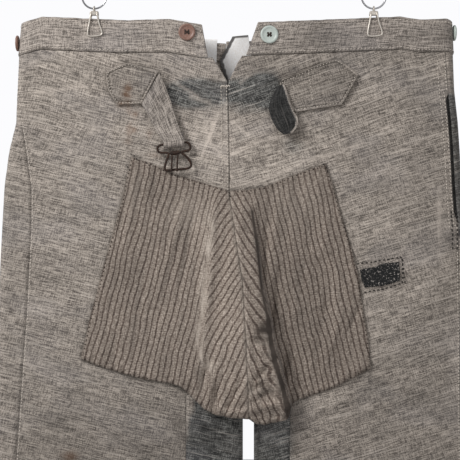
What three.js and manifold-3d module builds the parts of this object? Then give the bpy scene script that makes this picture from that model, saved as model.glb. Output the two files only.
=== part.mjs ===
// Chambray work trousers hung by the back waistband from two ring clips.
// Millimetres, +Z up. The back of the trousers faces -Y, and the origin is on the line
// that both rings hang from, halfway between them.
import * as THREE from 'three';
import { mergeVertices } from 'three/addons/utils/BufferGeometryUtils.js';
import Module from 'manifold-3d';

const wasm = await Module();
wasm.setup();

// Driving sizes
const CLOTH = 1.6;             // wall of one layer of chambray with its seams
const BAND = 3.0;              // doubled waistband
const SEAM_GAP = 0.3;          // between pieces that are sewn together
const ROLL = 9;                // radius at which the hanging cloth rolls over at its sides
const ROLL_ARC = Math.PI * ROLL / 2;
const BODY_SWELL = 3;          // how far each face stands out between its rolled sides
const BAND_HEIGHT = 33;
const CROTCH_Z = -395;
const HEM_Z = -1115;
const FRONT_SAG = 18;          // the front waist hangs lower, because only the back is clipped
const SLIT = { top: -112, bottom: -238, width: 3 };  // open side pocket on the right
const FRONT_MIDDLE = { x: -8, crotch: 14.5 };  // centre front seam at the waist and at the crotch
const CLIP_X = 140;            // each clip from the middle
const RING_RADIUS = 12.1;
const RING_WIRE = 0.9;

// Rolled outer edges, and how far round the back each side seam lies from its rolled edge
const EDGES = [
  { z: -30, left: -213, right: 219, seamLeft: 3, seamRight: 14 },
  { z: -68, left: -217, right: 221, seamLeft: 3, seamRight: 14 },
  { z: -103, left: -218.6, right: 222.3, seamLeft: 4, seamRight: 13 },
  { z: -137, left: -220, right: 226, seamLeft: 12, seamRight: 13 },
  { z: -166, left: -227, right: 228, seamLeft: 24, seamRight: 13 },
  { z: -203, left: -232, right: 230, seamLeft: 34, seamRight: 13 },
  { z: -243, left: -234, right: 233, seamLeft: 36, seamRight: 13 },
  { z: -335, left: -239, right: 235, seamLeft: 36, seamRight: 14 },
  { z: -475, left: -245, right: 238, seamLeft: 32, seamRight: 16 },
  { z: -760, left: -241, right: 238, seamLeft: 22, seamRight: 14 },
  { z: -1115, left: -232, right: 236, seamLeft: 14, seamRight: 14 },
];

// Inner edges of the legs, and where the inseam lies on the back of each
const LEGS = [
  { z: -396, left: 9, right: 20, inseamLeft: -48, inseamRight: 56 },
  { z: -475, left: 9, right: 20, inseamLeft: -48, inseamRight: 56 },
  { z: -760, left: -6, right: 24, inseamLeft: -32, inseamRight: 47 },
  { z: -1115, left: -12, right: 27, inseamLeft: -24, inseamRight: 39 },
];

// Centre back seam, which swings to the right over the fullness of the seat
const SEAT_SEAM = [
  { z: -61, x: -6 }, { z: -100, x: -6 }, { z: -180, x: -4.5 }, { z: -212, x: -4.5 },
  { z: -255, x: 2 }, { z: -295, x: 8 }, { z: -355, x: 12 }, { z: -440, x: 15 },
];

// Notch at the top of the centre back, as half openings on each side of the seam
const NOTCH = [
  { z: -61, left: 20, right: 18.5 }, { z: -75, left: 11, right: 9.5 }, { z: -94, left: 0.3, right: 0.3 },
  { z: -100, left: 0.15, right: 0.15 }, { z: -440, left: 0.15, right: 0.15 },
];

// Full seat that bags out over the crotch: its height, and the deep fold on its right
const BAG = [
  { z: -205, height: 0, fold: 22 }, { z: -255, height: 4, fold: 22 }, { z: -295, height: 9, fold: 23 },
  { z: -332, height: 12, fold: 31 }, { z: -365, height: 14, fold: 36 }, { z: -400, height: 15, fold: 46 },
  { z: -420, height: 13, fold: 51 }, { z: -434, height: 8, fold: 51 }, { z: -450, height: 3, fold: 51 },
];
const BAG_REACH = 130;         // from the fold to where the bag dies out on the left

// Waistband edges on the back
const BAND_TOP = [
  { x: -222, z: -38 }, { x: -212, z: -36 }, { x: -195, z: -31 }, { x: -109, z: -35 }, { x: -68, z: -34 },
  { x: -32, z: -40 }, { x: 24, z: -37 }, { x: 69, z: -35.5 }, { x: 134, z: -32.6 }, { x: 168, z: -31 },
  { x: 187, z: -34 }, { x: 215, z: -33 }, { x: 224, z: -36 },
];

// Soft folds, as ridges: the middle, the lean of the crest from level, and the size
const FOLDS = [
  { x: -150, z: -150, lean: -14, length: 70, width: 11, rise: 2.2 },
  { x: -95, z: -235, lean: -18, length: 80, width: 13, rise: 1.8 },
  { x: -185, z: -260, lean: -10, length: 60, width: 14, rise: 2.4 },
  { x: 120, z: -165, lean: 18, length: 75, width: 12, rise: 2.2 },
  { x: 165, z: -250, lean: 16, length: 60, width: 14, rise: 2.4 },
  { x: 150, z: -370, lean: 20, length: 70, width: 14, rise: 2.6 },
  { x: -130, z: -440, lean: -24, length: 80, width: 15, rise: 2.8 },
  { x: -120, z: -640, lean: -70, length: 150, width: 18, rise: 4 },
  { x: 140, z: -620, lean: 74, length: 160, width: 18, rise: 4 },
  { x: -150, z: -900, lean: -82, length: 170, width: 20, rise: 4 },
  { x: 130, z: -930, lean: 84, length: 150, width: 20, rise: 4 },
];

const rad = THREE.MathUtils.degToRad;
const clamp01 = (t) => Math.min(1, Math.max(0, t));
const ease = (t) => clamp01(t) ** 2 * (3 - 2 * clamp01(t));

// Value of one column of a table at a level, or at a place across
function along(table, at, column, key = 'z') {
  const rows = [...table].sort((a, b) => a[key] - b[key]);
  if (at <= rows[0][key]) return rows[0][column];
  for (let i = 1; i < rows.length; i += 1) {
    const [low, high] = [rows[i - 1], rows[i]];
    if (at <= high[key]) {
      const t = (at - low[key]) / (high[key] - low[key]);
      return low[column] + (high[column] - low[column]) * t;
    }
  }
  return rows.at(-1)[column];
}

const inward = (side) => (side === 'left' ? 1 : -1);
const outerEdge = (side, z) => along(EDGES, z, side);
const seamRound = (side, z) => along(EDGES, z, side === 'left' ? 'seamLeft' : 'seamRight');
const innerEdge = (side, z) => along(LEGS, z, side);
const seatSeam = (z) => along(SEAT_SEAM, z, 'x');
const isLeg = (z) => z < CROTCH_Z - 1;

function foldRise(x, z) {
  let rise = 0;
  for (const fold of FOLDS) {
    const [dx, dz] = [x - fold.x, z - fold.z];
    const [c, s] = [Math.cos(rad(fold.lean)), Math.sin(rad(fold.lean))];
    const [u, v] = [(dx * c + dz * s) / fold.length, (dz * c - dx * s) / fold.width];
    rise += fold.rise * Math.exp(-u * u - v * v);
  }
  return rise;
}

function bagRise(x, z) {
  const fold = along(BAG, z, 'fold');
  const right = ease((fold + 4 - x) / 6);
  const left = ease((x - (fold - BAG_REACH)) / (BAG_REACH - 20));
  return along(BAG, z, 'height') * right * left;
}

// How far a face stands out at a place, fading to nothing at its rolled edges. The body's one
// broad swell becomes one for each leg on the way down to the crotch.
function swell(x, z, side, face, bag) {
  const outer = outerEdge(side, z);
  const acrossTo = (other) => {
    const half = Math.abs(outer - other) / 2 - ROLL;
    return Math.min(1, Math.abs(x - (outer + other) / 2) / half);
  };
  const body = acrossTo(outerEdge(side === 'left' ? 'right' : 'left', z));
  const leg = acrossTo(innerEdge(side, z));
  const toLeg = ease((CROTCH_Z + 95 - z) / 95);
  const broad = THREE.MathUtils.lerp((1 - body ** 2) ** 2, (1 - leg ** 2) ** 2, toLeg);
  const fade = THREE.MathUtils.lerp((1 - body ** 6) ** 2, (1 - leg ** 6) ** 2, toLeg);
  let out = BODY_SWELL * broad + fade * foldRise(face === 'back' ? x : -x, z);
  if (face === 'back' && !isLeg(z)) out += bag * bagRise(x, z);
  return out;
}

// Point of the cloth at a distance round the side from the middle of the rolled outer edge:
// negative over the back, positive over the front and, on a leg, on round its inner edge
function skin(side, z, round, bag = 0.8) {
  const s = inward(side);
  const outer = outerEdge(side, z);
  if (Math.abs(round) <= ROLL_ARC) {
    const turn = round / ROLL;
    return new THREE.Vector2(outer + s * ROLL * (1 - Math.cos(turn)), ROLL * Math.sin(turn));
  }
  const x = outer + s * (ROLL + Math.abs(round) - ROLL_ARC);
  if (round < 0) return new THREE.Vector2(x, -ROLL - swell(x, z, side, 'back', bag));
  if (isLeg(z)) {
    const inner = innerEdge(side, z);
    const past = s * (x - (inner - s * ROLL));
    if (past > 2 * ROLL_ARC) {
      const back = inner - s * (ROLL + past - 2 * ROLL_ARC);
      return new THREE.Vector2(back, -ROLL - swell(back, z, side, 'back', bag));
    }
    if (past > 0) {
      const turn = past / ROLL;
      return new THREE.Vector2(inner - s * ROLL * (1 - Math.sin(turn)), ROLL * Math.cos(turn));
    }
  }
  return new THREE.Vector2(x, ROLL + swell(x, z, side, 'front', bag));
}

const roundOfBackX = (side, z, x) => -(ROLL_ARC + Math.abs(x - outerEdge(side, z)) - ROLL);
const roundOfFrontX = (side, z, x) => -roundOfBackX(side, z, x);

// The top of each panel follows the waistband, which dips along the front
function bandDip(side, round) {
  const start = ROLL_ARC;
  const span = Math.abs(outerEdge(side, -68) - FRONT_MIDDLE.x) - ROLL;
  return FRONT_SAG * ease((round - start) / span);
}
const frontSeam = (z) => THREE.MathUtils.mapLinear(z, -50, CROTCH_Z, FRONT_MIDDLE.x, FRONT_MIDDLE.crotch);

function bandBottom(side, round) {
  const x = round > 0 ? outerEdge(side, -36) : skin(side, -66, round).x;
  const dip = round > 0 ? bandDip(side, round) : 0;
  return along(BAND_TOP, x, 'z', 'x') - BAND_HEIGHT - dip;
}

function clothPoint(side, z, round, lift = 0, bag = 0.8) {
  const step = 0.5;
  const [p, a, b] = [round, round - step, round + step].map((r) => skin(side, z, r, bag));
  const normal = new THREE.Vector2(a.y - b.y, b.x - a.x).normalize().multiplyScalar(inward(side));
  const fade = ease((z + 170) / 100);
  const shift = (bandBottom(side, round) + 68) * fade;
  return new THREE.Vector3(p.x + normal.x * lift, p.y + normal.y * lift, z + shift);
}

// Closed solid between two like grids of points
function wall(outer, inner) {
  const [rows, cols] = [outer.length, outer[0].length];
  const positions = [...outer.flat(), ...inner.flat()].flatMap((p) => [p.x, p.y, p.z]);
  const id = (layer, r, c) => layer * rows * cols + r * cols + c;
  const index = [];
  const quad = (a, b, c, d) => index.push(a, b, c, a, c, d);
  for (let r = 0; r < rows - 1; r += 1) {
    for (let c = 0; c < cols - 1; c += 1) {
      quad(id(0, r, c), id(0, r, c + 1), id(0, r + 1, c + 1), id(0, r + 1, c));
      quad(id(1, r, c), id(1, r + 1, c), id(1, r + 1, c + 1), id(1, r, c + 1));
    }
    quad(id(0, r, 0), id(0, r + 1, 0), id(1, r + 1, 0), id(1, r, 0));
    quad(id(0, r, cols - 1), id(1, r, cols - 1), id(1, r + 1, cols - 1), id(0, r + 1, cols - 1));
  }
  for (let c = 0; c < cols - 1; c += 1) {
    quad(id(0, 0, c), id(1, 0, c), id(1, 0, c + 1), id(0, 0, c + 1));
    quad(id(0, rows - 1, c), id(0, rows - 1, c + 1), id(1, rows - 1, c + 1), id(1, rows - 1, c));
  }
  const geometry = new THREE.BufferGeometry();
  geometry.setAttribute('position', new THREE.Float32BufferAttribute(positions, 3));
  geometry.setIndex(index);
  return faceOut(geometry);
}

function faceOut(geometry) {
  const [p, index] = [geometry.attributes.position, geometry.index.array];
  const corner = (i) => new THREE.Vector3().fromBufferAttribute(p, index[i]);
  let volume = 0;
  for (let i = 0; i < index.length; i += 3) volume += corner(i).dot(corner(i + 1).cross(corner(i + 2)));
  if (volume < 0) {
    for (let i = 0; i < index.length; i += 3) [index[i], index[i + 1]] = [index[i + 1], index[i]];
  }
  return geometry;
}

function bare(geometry) {
  const plain = geometry.clone();
  plain.deleteAttribute('normal');
  plain.deleteAttribute('uv');
  return faceOut(mergeVertices(plain, 1e-3));
}

function toSolid(geometry) {
  const merged = bare(geometry);
  return new wasm.Manifold(new wasm.Mesh({
    numProp: 3,
    vertProperties: new Float32Array(merged.attributes.position.array),
    triVerts: new Uint32Array(merged.index.array),
  }));
}

function toGeometry(solid) {
  const mesh = solid.getMesh();
  const geometry = new THREE.BufferGeometry();
  geometry.setAttribute('position', new THREE.BufferAttribute(new Float32Array(mesh.vertProperties), 3));
  geometry.setIndex(new THREE.BufferAttribute(new Uint32Array(mesh.triVerts), 1));
  return geometry;
}

const spread = (from, to, steps) => Array.from({ length: steps }, (_, i) => from + (to - from) * i / steps);

// Levels of the rows of a panel
const BODY_LEVELS = [-68, -90, -115, -142, -172, -205, -235, -265, -295, -325, -350, -375, CROTCH_Z];
const LEG_LEVELS = [-400, -405, -411, -435, -475, -560, -680, -820, -970, HEM_Z];
const BAG_LEVELS = [-405, -415, -424, -432, -442];

// Inner edge of a back panel: down the centre seam, then across under the crotch to the inseam
function backInner(side, z) {
  const seam = seatSeam(z) - inward(side) * along(NOTCH, z, side);
  if (!isLeg(z)) return seam;
  const inseam = along(LEGS, z, side === 'left' ? 'inseamLeft' : 'inseamRight');
  return THREE.MathUtils.lerp(seam, inseam, clamp01((CROTCH_Z - z) / 16));
}

// Distances round the side of the columns of a back panel, from the centre seam to the side seam.
// A whole one keeps to the centre seam all the way down, for what hangs over the crotch.
function backColumns(side, z, whole = false) {
  const s = inward(side);
  const inner = whole ? seatSeam(z) - s * along(NOTCH, z, side) : backInner(side, z);
  const slit = side === 'right' && z < SLIT.top && z > SLIT.bottom ? SLIT.width : 0;
  const seam = -seamRound(side, z) - SEAM_GAP / 2 - slit;
  if (side === 'left') return [...spread(roundOfBackX(side, z, inner), seam, 14), seam];
  const fold = along(BAG, z, 'fold');
  const crest = Math.max(fold - 2, inner + 6);
  const foot = Math.max(fold + 4, crest + 5);
  const at = (x) => roundOfBackX(side, z, x);
  const bag = [...spread(at(inner), at(crest), 3), ...spread(at(crest), at(foot), 2)];
  return [...bag, ...spread(at(foot), seam, 10), seam];
}

// The same for a front panel, from the side seam to the centre front or round to the inseam
function frontColumns(side, z) {
  const s = inward(side);
  const sideColumns = spread(-seamRound(side, z) + SEAM_GAP / 2, ROLL_ARC, 5);
  if (!isLeg(z)) {
    const end = roundOfFrontX(side, z, frontSeam(z) - s * SEAM_GAP / 2);
    return [...sideColumns, ...spread(ROLL_ARC, end - 50, 4), ...spread(end - 50, end, 8), end];
  }
  const rollStart = roundOfFrontX(side, z, innerEdge(side, z) - s * ROLL);
  const rollEnd = rollStart + 2 * ROLL_ARC;
  const front = [...sideColumns, ...spread(ROLL_ARC, rollStart - 25, 4)];
  const onBack = s * (innerEdge(side, z) - backInner(side, z)) - ROLL;
  if (onBack < 1) {
    const end = rollStart + ROLL_ARC;
    return [...front, ...spread(rollStart - 25, end, 8), end];
  }
  const end = rollEnd + onBack - SEAM_GAP;
  return [...front, rollStart - 25, ...spread(rollStart, rollEnd, 4), ...spread(rollEnd, end, 3), end];
}

function panel(side, columns, levels, outer = 0, inner = -CLOTH, bag = 0.8) {
  const row = (z, lift) => columns(side, z).map((round) => clothPoint(side, z, round, lift, bag));
  const grid = (lift) => levels.map((z) => row(z, lift));
  return wall(grid(outer), grid(inner));
}

// A piece that lies on a panel: the panel's own points moved out, cut to an outline of x and z
function laid(side, outline, lift, thickness, face = 'back', bag = 1) {
  const whole = (which, z) => backColumns(which, z, true);
  const levels = [...BODY_LEVELS, ...BAG_LEVELS];
  const isBack = face === 'back';
  const sheet = isBack
    ? panelAsBody(side, whole, levels, lift + thickness, lift, bag)
    : panel(side, frontColumns, BODY_LEVELS, lift + thickness, lift);
  const shape = new THREE.Shape(outline.map(([x, z]) => new THREE.Vector2(x, z)));
  const cutter = new THREE.ExtrudeGeometry(shape, { depth: 80, bevelEnabled: false });
  cutter.rotateX(Math.PI / 2);
  if (!isBack) cutter.translate(0, 80, 0);
  return toGeometry(toSolid(sheet).intersect(toSolid(cutter)));
}

// Back surface carried on below the crotch as one sheet, for what hangs over the legs there
function panelAsBody(side, columns, levels, outer, inner, bag) {
  const s = inward(side);
  const grid = (lift) => levels.map((z) => columns(side, z).map((round) => {
    if (!isLeg(z)) return clothPoint(side, z, round, lift, bag);
    const x = outerEdge(side, z) + s * (ROLL - round - ROLL_ARC);
    return new THREE.Vector3(x, -ROLL - swell(x, z, side, 'back', 0) - bag * bagRise(x, z) - lift, z);
  }));
  return wall(grid(outer), grid(inner));
}

// Ribbon of cloth through rows of left and right edge points, each set out from the cloth below
function ribbon(rows, thickness, steps = 3) {
  const across = (row, c) => row.left.clone().lerp(row.right, c / steps);
  const offset = (distance) => rows.map((row, r) => Array.from({ length: steps + 1 }, (_, c) => {
    const before = across(rows[Math.max(0, r - 1)], c);
    const after = across(rows[Math.min(rows.length - 1, r + 1)], c);
    const normal = row.right.clone().sub(row.left).cross(after.sub(before)).normalize();
    return across(row, c).addScaledVector(normal, distance);
  }));
  return wall(offset(thickness / 2), offset(-thickness / 2));
}

// Depth of the back of the cloth at a place
const backDepth = (x, z) => skin(x < seatSeam(z) ? 'left' : 'right', z,
  roundOfBackX(x < seatSeam(z) ? 'left' : 'right', z, x)).y;

function wire(points, radius, steps, sides = 8) {
  const curve = new THREE.CatmullRomCurve3(points, false, 'centripetal');
  const section = new THREE.Shape();
  section.absarc(0, 0, radius, 0, 2 * Math.PI, false);
  return new THREE.ExtrudeGeometry(section, {
    steps, curveSegments: sides, bevelEnabled: false, extrudePath: curve,
  });
}

function closedWire(points, radius, steps, sides = 8) {
  const curve = new THREE.CatmullRomCurve3(points, true, 'centripetal');
  return new THREE.TubeGeometry(curve, steps, radius, sides, true);
}

const join = (...shapes) => toGeometry(shapes.map(toSolid).reduce((sum, next) => sum.add(next)));

const garment = new THREE.Group();
function piece(name, geometry, color, roughness = 0.95, metalness = 0) {
  const finish = new THREE.MeshStandardMaterial({ color, roughness, metalness });
  const mesh = new THREE.Mesh(bare(geometry), finish);
  mesh.name = name;
  garment.add(mesh);
  return mesh;
}

// Colours
const CHAMBRAY = 0x8f877f;
const UNFADED = 0x4a4d4e;
const STRIPED = 0x8d8277;
const CREAM = 0xe6e0da;
const STEEL = 0xb9b6b2;
const RUSTED = 0x4a382f;

// Back and front panels, each from the waistband to the hem
for (const side of ['left', 'right']) {
  const levels = [...BODY_LEVELS, ...LEG_LEVELS];
  piece(`back_panel_${side}`, panel(side, backColumns, levels), CHAMBRAY);
  piece(`front_panel_${side}`, panel(side, frontColumns, levels), side === 'left' ? CHAMBRAY : UNFADED);
}

// Waistband halves, from the notch at the back round to the centre front
const BAND_ENDS = { left: { bottom: -26, top: -32 }, right: { bottom: 12, top: 24 } };
const BAND_PROUD = 1.0;
const BAND_GAP = 0.9;  // the band's straight facets clear the panels' here
function waistband(side) {
  const row = (level, end, height) => (lift) => {
    const start = roundOfBackX(side, level, end);
    const middle = roundOfFrontX(side, level, FRONT_MIDDLE.x - inward(side) * SEAM_GAP);
    const columns = [...spread(start, -ROLL_ARC, 12), ...spread(-ROLL_ARC, ROLL_ARC, 5),
      ...spread(ROLL_ARC, middle, 8), middle];
    return columns.map((round) => {
      const p = clothPoint(side, level, round, lift);
      return new THREE.Vector3(p.x, p.y, bandBottom(side, round) + height);
    });
  };
  const { bottom, top } = BAND_ENDS[side];
  const rows = [row(-66, bottom, BAND_GAP), row(-52, (bottom + top) / 2, BAND_HEIGHT / 2),
    row(-36, top, BAND_HEIGHT)];
  return wall(rows.map((r) => r(BAND_PROUD)), rows.map((r) => r(BAND_PROUD - BAND)));
}
piece('waistband_left', waistband('left'), CHAMBRAY);
piece('waistband_right', waistband('right'), CHAMBRAY);

// Cream facings inside the front opening, seen through the notch
function frontFacing(from, to) {
  const levels = [-59, -76, -94, -130, -170];
  const grid = (depth) => levels.map((z) => [0, 0.5, 1].map((t) => {
    const x = THREE.MathUtils.lerp(from, to, t);
    const y = skin('left', Math.min(z, -66), roundOfFrontX('left', Math.min(z, -66), x)).y;
    return new THREE.Vector3(x, y - depth, z);
  }));
  return wall(grid(BAND), grid(BAND + 1));
}
piece('front_facing_left', frontFacing(-40, -12), CREAM);
piece('front_facing_right', frontFacing(-6, 26), CREAM);

// Fly placket on the outside of the front, and its waist button
const PLACKET = [[-4, -92], [34, -90], [36, -250], [26, -270], [8, -274]];
piece('fly_placket', laid('right', PLACKET, SEAM_GAP, CLOTH, 'front'), CHAMBRAY);

// Strip inside the open side pocket
function pocketStrip() {
  const levels = [-106, -115, -142, -172, -205, -235, -244];
  const grid = (lift) => levels.map((z) => {
    const seam = -seamRound('right', z);
    const columns = [...spread(seam - 14, seam + 10, 3), seam + 10];
    return columns.map((round) => clothPoint('right', z, round, lift));
  });
  return wall(grid(-CLOTH - 1), grid(-CLOTH - 2));
}
piece('pocket_facing_right', pocketStrip(), UNFADED);

// Seat patches and the small black mend
const LAID = { lift: SEAM_GAP, patch: 1.2, cinch: 2 };
const SEAT_PATCHES = {
  left: [[-102.5, -172], [-84, -178], [-58, -190], [-8, -204], [-5.5, -212], [1.4, -255], [7.4, -295],
    [11.4, -355], [14.2, -433], [-4, -433], [-29, -425], [-43, -412], [-55, -401], [-90, -394],
    [-127, -384], [-153.3, -374], [-144.5, -335], [-131, -284], [-112, -215], [-106.4, -188]],
  right: [[-3.8, -212], [31, -203], [60.5, -190], [79.6, -183], [91.3, -179.5], [99, -200], [106, -226],
    [118, -266], [123.6, -287], [128, -317], [134, -354], [136, -383], [131, -386], [99, -403.5],
    [65, -415], [56, -420], [50, -431], [46, -434], [30, -439], [22, -439], [15.6, -434],
    [12.6, -355], [8.6, -295], [2.6, -255]],
};
for (const side of ['left', 'right']) {
  piece(`seat_patch_${side}`, laid(side, SEAT_PATCHES[side], LAID.lift, LAID.patch), STRIPED);
}
const MEND = [[125, -285], [132, -283.5], [142, -282], [149, -278.6], [165, -277], [166.5, -296],
  [159, -298], [148, -301], [131, -303], [127.5, -294.5]];
piece('mend_patch', laid('right', MEND, LAID.lift, LAID.patch), 0x1f2123);

// Cinch straps: each has a pointed base sewn to the back, and an end that folds over and hangs free
const CINCH_BASES = {
  left: [[-128.4, -88], [-117, -82], [-106.4, -78], [-75.6, -87.6], [-92, -119], [-117, -120],
    [-126, -105]],
  right: [[45.7, -98], [48, -94.5], [59.6, -90], [86, -79], [102, -74.6], [111, -80], [124, -91],
    [111, -115], [107, -120.4], [61.4, -126.6], [50, -116]],
};
for (const side of ['left', 'right']) {
  piece(`cinch_base_${side}`, laid(side, CINCH_BASES[side], LAID.lift, LAID.cinch, 'back', 0.8), CHAMBRAY);
}

const STRAP = 1.6;
const BAR = {
  left: new THREE.Vector3(-72.5, 0, -160.4), right: new THREE.Vector3(-46.8, 0, -157.9),
  radius: 1.2, clearance: 0.6, proud: 4.9,
};
const barY = backDepth(-60, -159) - BAR.proud;
BAR.left.y = barY;
BAR.right.y = barY;
const barAxis = BAR.right.clone().sub(BAR.left).normalize();
const down = new THREE.Vector3(barAxis.z, 0, -barAxis.x);
const outward = new THREE.Vector3(0, -1, 0);

function edgeRow(left, right, proud) {
  const at = ([x, z]) => new THREE.Vector3(x, backDepth(x, z) - proud, z);
  return { left: at(left), right: at(right) };
}

// The left strap runs down to the buckle's bar, round it and up behind
function leftStrap() {
  const loop = BAR.radius + BAR.clearance + STRAP / 2;
  const ends = [2.6, 23].map((distance) => BAR.left.clone().addScaledVector(barAxis, distance));
  const moved = (out, fall) => {
    const move = (p) => p.clone().addScaledVector(outward, out).addScaledVector(down, fall);
    return { left: move(ends[0]), right: move(ends[1]) };
  };
  const rows = [edgeRow([-92, -119.5], [-74.6, -88.3], 3.5), edgeRow([-84.5, -133], [-64.5, -112], 4.6),
    edgeRow([-77.5, -147], [-56.5, -138], 5.8), moved(loop, -3)];
  for (const turn of [0, 45, 90, 135, 180]) {
    rows.push(moved(loop * Math.cos(rad(turn)), loop * Math.sin(rad(turn))));
  }
  rows.push(moved(-loop, -11));
  return ribbon(rows, STRAP);
}
piece('cinch_strap_left', leftStrap(), CHAMBRAY);

piece('cinch_strap_right', ribbon([
  edgeRow([43.5, -101.5], [50, -99.5], 3.6), edgeRow([35, -121], [55, -116], 4.2),
  edgeRow([35.5, -129], [59.6, -126.6], 4.8), edgeRow([43, -145], [63, -139.5], 5.2),
  edgeRow([50, -149.5], [58, -148], 5.2),
], STRAP), UNFADED);

// Rusted wire buckle that hangs in the strap's end, with two prongs on its middle bar
const onBuckle = (x, z, out = 0) => new THREE.Vector3(x, barY - out, z);
const MID_BAR = { left: onBuckle(-65.4, -169), right: onBuckle(-52, -167.6) };
const FRAME_PATH = [BAR.left, onBuckle(-76, -163), onBuckle(-74.5, -167.5), MID_BAR.left,
  onBuckle(-67.5, -177), onBuckle(-69, -183.5), onBuckle(-66.5, -185.6), onBuckle(-57, -184.8),
  onBuckle(-46, -183.6), onBuckle(-42.6, -180), onBuckle(-46, -173.5), MID_BAR.right,
  onBuckle(-45.5, -166), onBuckle(-43.4, -162), BAR.right,
  BAR.left.clone().lerp(BAR.right, 0.66), BAR.left.clone().lerp(BAR.right, 0.33)];
const midBar = wire([MID_BAR.left, MID_BAR.right], 1.1, 1);
piece('buckle_frame', join(closedWire(FRAME_PATH, BAR.radius, 48, 6), midBar), RUSTED, 0.7, 0.6);

function prongs() {
  const sleeve = { inner: 1.45, outer: 2.3, half: 4.4 };
  const middle = MID_BAR.left.clone().lerp(MID_BAR.right, 0.5);
  const { inner, outer } = sleeve;
  const profile = [[inner, -1], [outer, -1], [outer, 1], [inner, 1], [inner, -1]];
  const tube = new THREE.LatheGeometry(
    profile.map(([r, end]) => new THREE.Vector2(r, end * sleeve.half)), 16);
  tube.rotateZ(-Math.PI / 2);
  tube.rotateY(-Math.atan2(barAxis.z, barAxis.x));
  tube.translate(middle.x, middle.y, middle.z);
  const prong = (x) => {
    const { left, right } = MID_BAR;
    const barZ = THREE.MathUtils.mapLinear(x, left.x, right.x, left.z, right.z);
    return wire([onBuckle(x, barZ - 1.5, 1.5), onBuckle(x, barZ - 5, 2.4),
      onBuckle(x - 0.3, barZ - 10, 2.4), onBuckle(x - 0.6, -187, 2.4)], 0.8, 6, 6);
  };
  return join(tube, prong(-61.6), prong(-56));
}
piece('buckle_prongs', prongs(), RUSTED, 0.7, 0.6);

// Buttons: two on the back band for braces, one on each side, and the front waist button
function button(radius) {
  const height = 2.4;
  const profile = [[0, 0], [radius * 0.9, 0], [radius, 1.2], [radius * 0.9, height], [radius * 0.7, height],
    [radius * 0.6, 1.6], [0, 1.6]].map(([r, h]) => new THREE.Vector2(r, h));
  return new THREE.LatheGeometry(profile, 18);
}
const bandFace = (side, x) => skin(side, -60, roundOfBackX(side, -60, x)).y - BAND_PROUD - SEAM_GAP - 0.2;
const BUTTONS = [
  { name: 'brace_button_left', radius: 8.5, x: -47, z: -47.5, color: 0x8f6252 },
  { name: 'brace_button_right', radius: 9, x: 35.3, z: -50, color: 0xb4bfbb },
];
for (const { name, radius, x, z, color } of BUTTONS) {
  const mesh = piece(name, button(radius), color, 0.5);
  mesh.rotation.x = Math.PI;
  mesh.position.set(x, bandFace(x < 0 ? 'left' : 'right', x), z);
}
const SIDE_BUTTON_GAP = 0.5;
for (const [side, z, color] of [['left', -56.5, 0x8f6252], ['right', -46, 0xb4bfbb]]) {
  const mesh = piece(`side_button_${side}`, button(8), color, 0.5);
  mesh.rotation.z = inward(side) * Math.PI / 2;
  const bandEdge = outerEdge(side, z) - inward(side) * BAND_PROUD;
  mesh.position.set(bandEdge - inward(side) * SIDE_BUTTON_GAP, 0, z);
}
const fly = piece('front_button', button(8.5), 0x8f6252, 0.5);
const frontSkin = skin('right', -66, roundOfFrontX('right', -66, 10)).y;
fly.position.set(10, frontSkin + BAND_PROUD + SEAM_GAP + 0.3, -72);

// Ring clips: a sprung pair of wire jaws on the back band, with an eye that hangs in the ring
const JAW_GAP = 0.6;
const clipDepth = (side) => skin(side, -60, roundOfBackX(side, -60, inward(side) * -CLIP_X)).y;
function clip(side) {
  const jawWire = 0.8;
  const cloth = clipDepth(side);
  const outside = cloth - BAND_PROUD - JAW_GAP - jawWire;
  const inside = cloth + BAND - BAND_PROUD + JAW_GAP + jawWire;
  const middle = (outside + inside) / 2;
  const path = [[-2.5, -26.5, 0.3], [-3.2, -30, 1], [-4.6, -38, 1], [-6.3, -47.5, 1], [-4.6, -51.2, 1],
    [6.6, -50.2, 1], [7.8, -46.5, 1], [5, -38, 1], [3.2, -30, 1], [2.5, -26.5, 0.3]];
  const jaw = (face) => closedWire(path.map(([x, z, spring]) =>
    new THREE.Vector3(x, THREE.MathUtils.lerp(middle, face, spring), z)), jawWire, 24, 5);
  const plate = new THREE.Shape();
  plate.moveTo(-4.8, -30.5);
  plate.lineTo(4.8, -30.5);
  plate.lineTo(4.2, -25.5);
  plate.lineTo(-4.2, -25.5);
  plate.closePath();
  const body = new THREE.ExtrudeGeometry(plate, { depth: 5, bevelEnabled: false });
  body.rotateX(Math.PI / 2);
  body.translate(0, middle + 2.5, 0);
  const eye = new THREE.TorusGeometry(3, 0.8, 5, 12);
  eye.rotateY(Math.PI / 2);
  eye.translate(0, middle, -2 * RING_RADIUS - RING_WIRE + 0.9);
  return { geometry: join(body, eye, jaw(outside), jaw(inside)), middle };
}
const clipMiddles = [];
for (const side of ['left', 'right']) {
  const x = inward(side) * -CLIP_X;
  const { geometry, middle } = clip(side);
  clipMiddles.push(middle);
  piece(`clip_${side}`, geometry, 0xe4ded6, 0.35, 0.5).position.x = x;
  const ring = piece(`ring_${side}`, new THREE.TorusGeometry(RING_RADIUS, RING_WIRE, 6, 24), STEEL, 0.3, 1);
  ring.rotation.x = Math.PI / 2;
  ring.position.set(x, middle, RING_WIRE - RING_RADIUS);
}

// The rings, not the cloth, lie at the origin's depth
garment.position.y = -(clipMiddles[0] + clipMiddles[1]) / 2;
const model = new THREE.Group();
model.add(garment);
export default model;
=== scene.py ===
# Chambray work trousers, seen from behind, hung by the back waistband from two ring clips.
from collections import namedtuple
from math import atan2, cos, exp, pi, radians, sin

import bmesh
import bpy
import numpy as np
from mathutils import Euler, Matrix, Vector, noise


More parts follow.
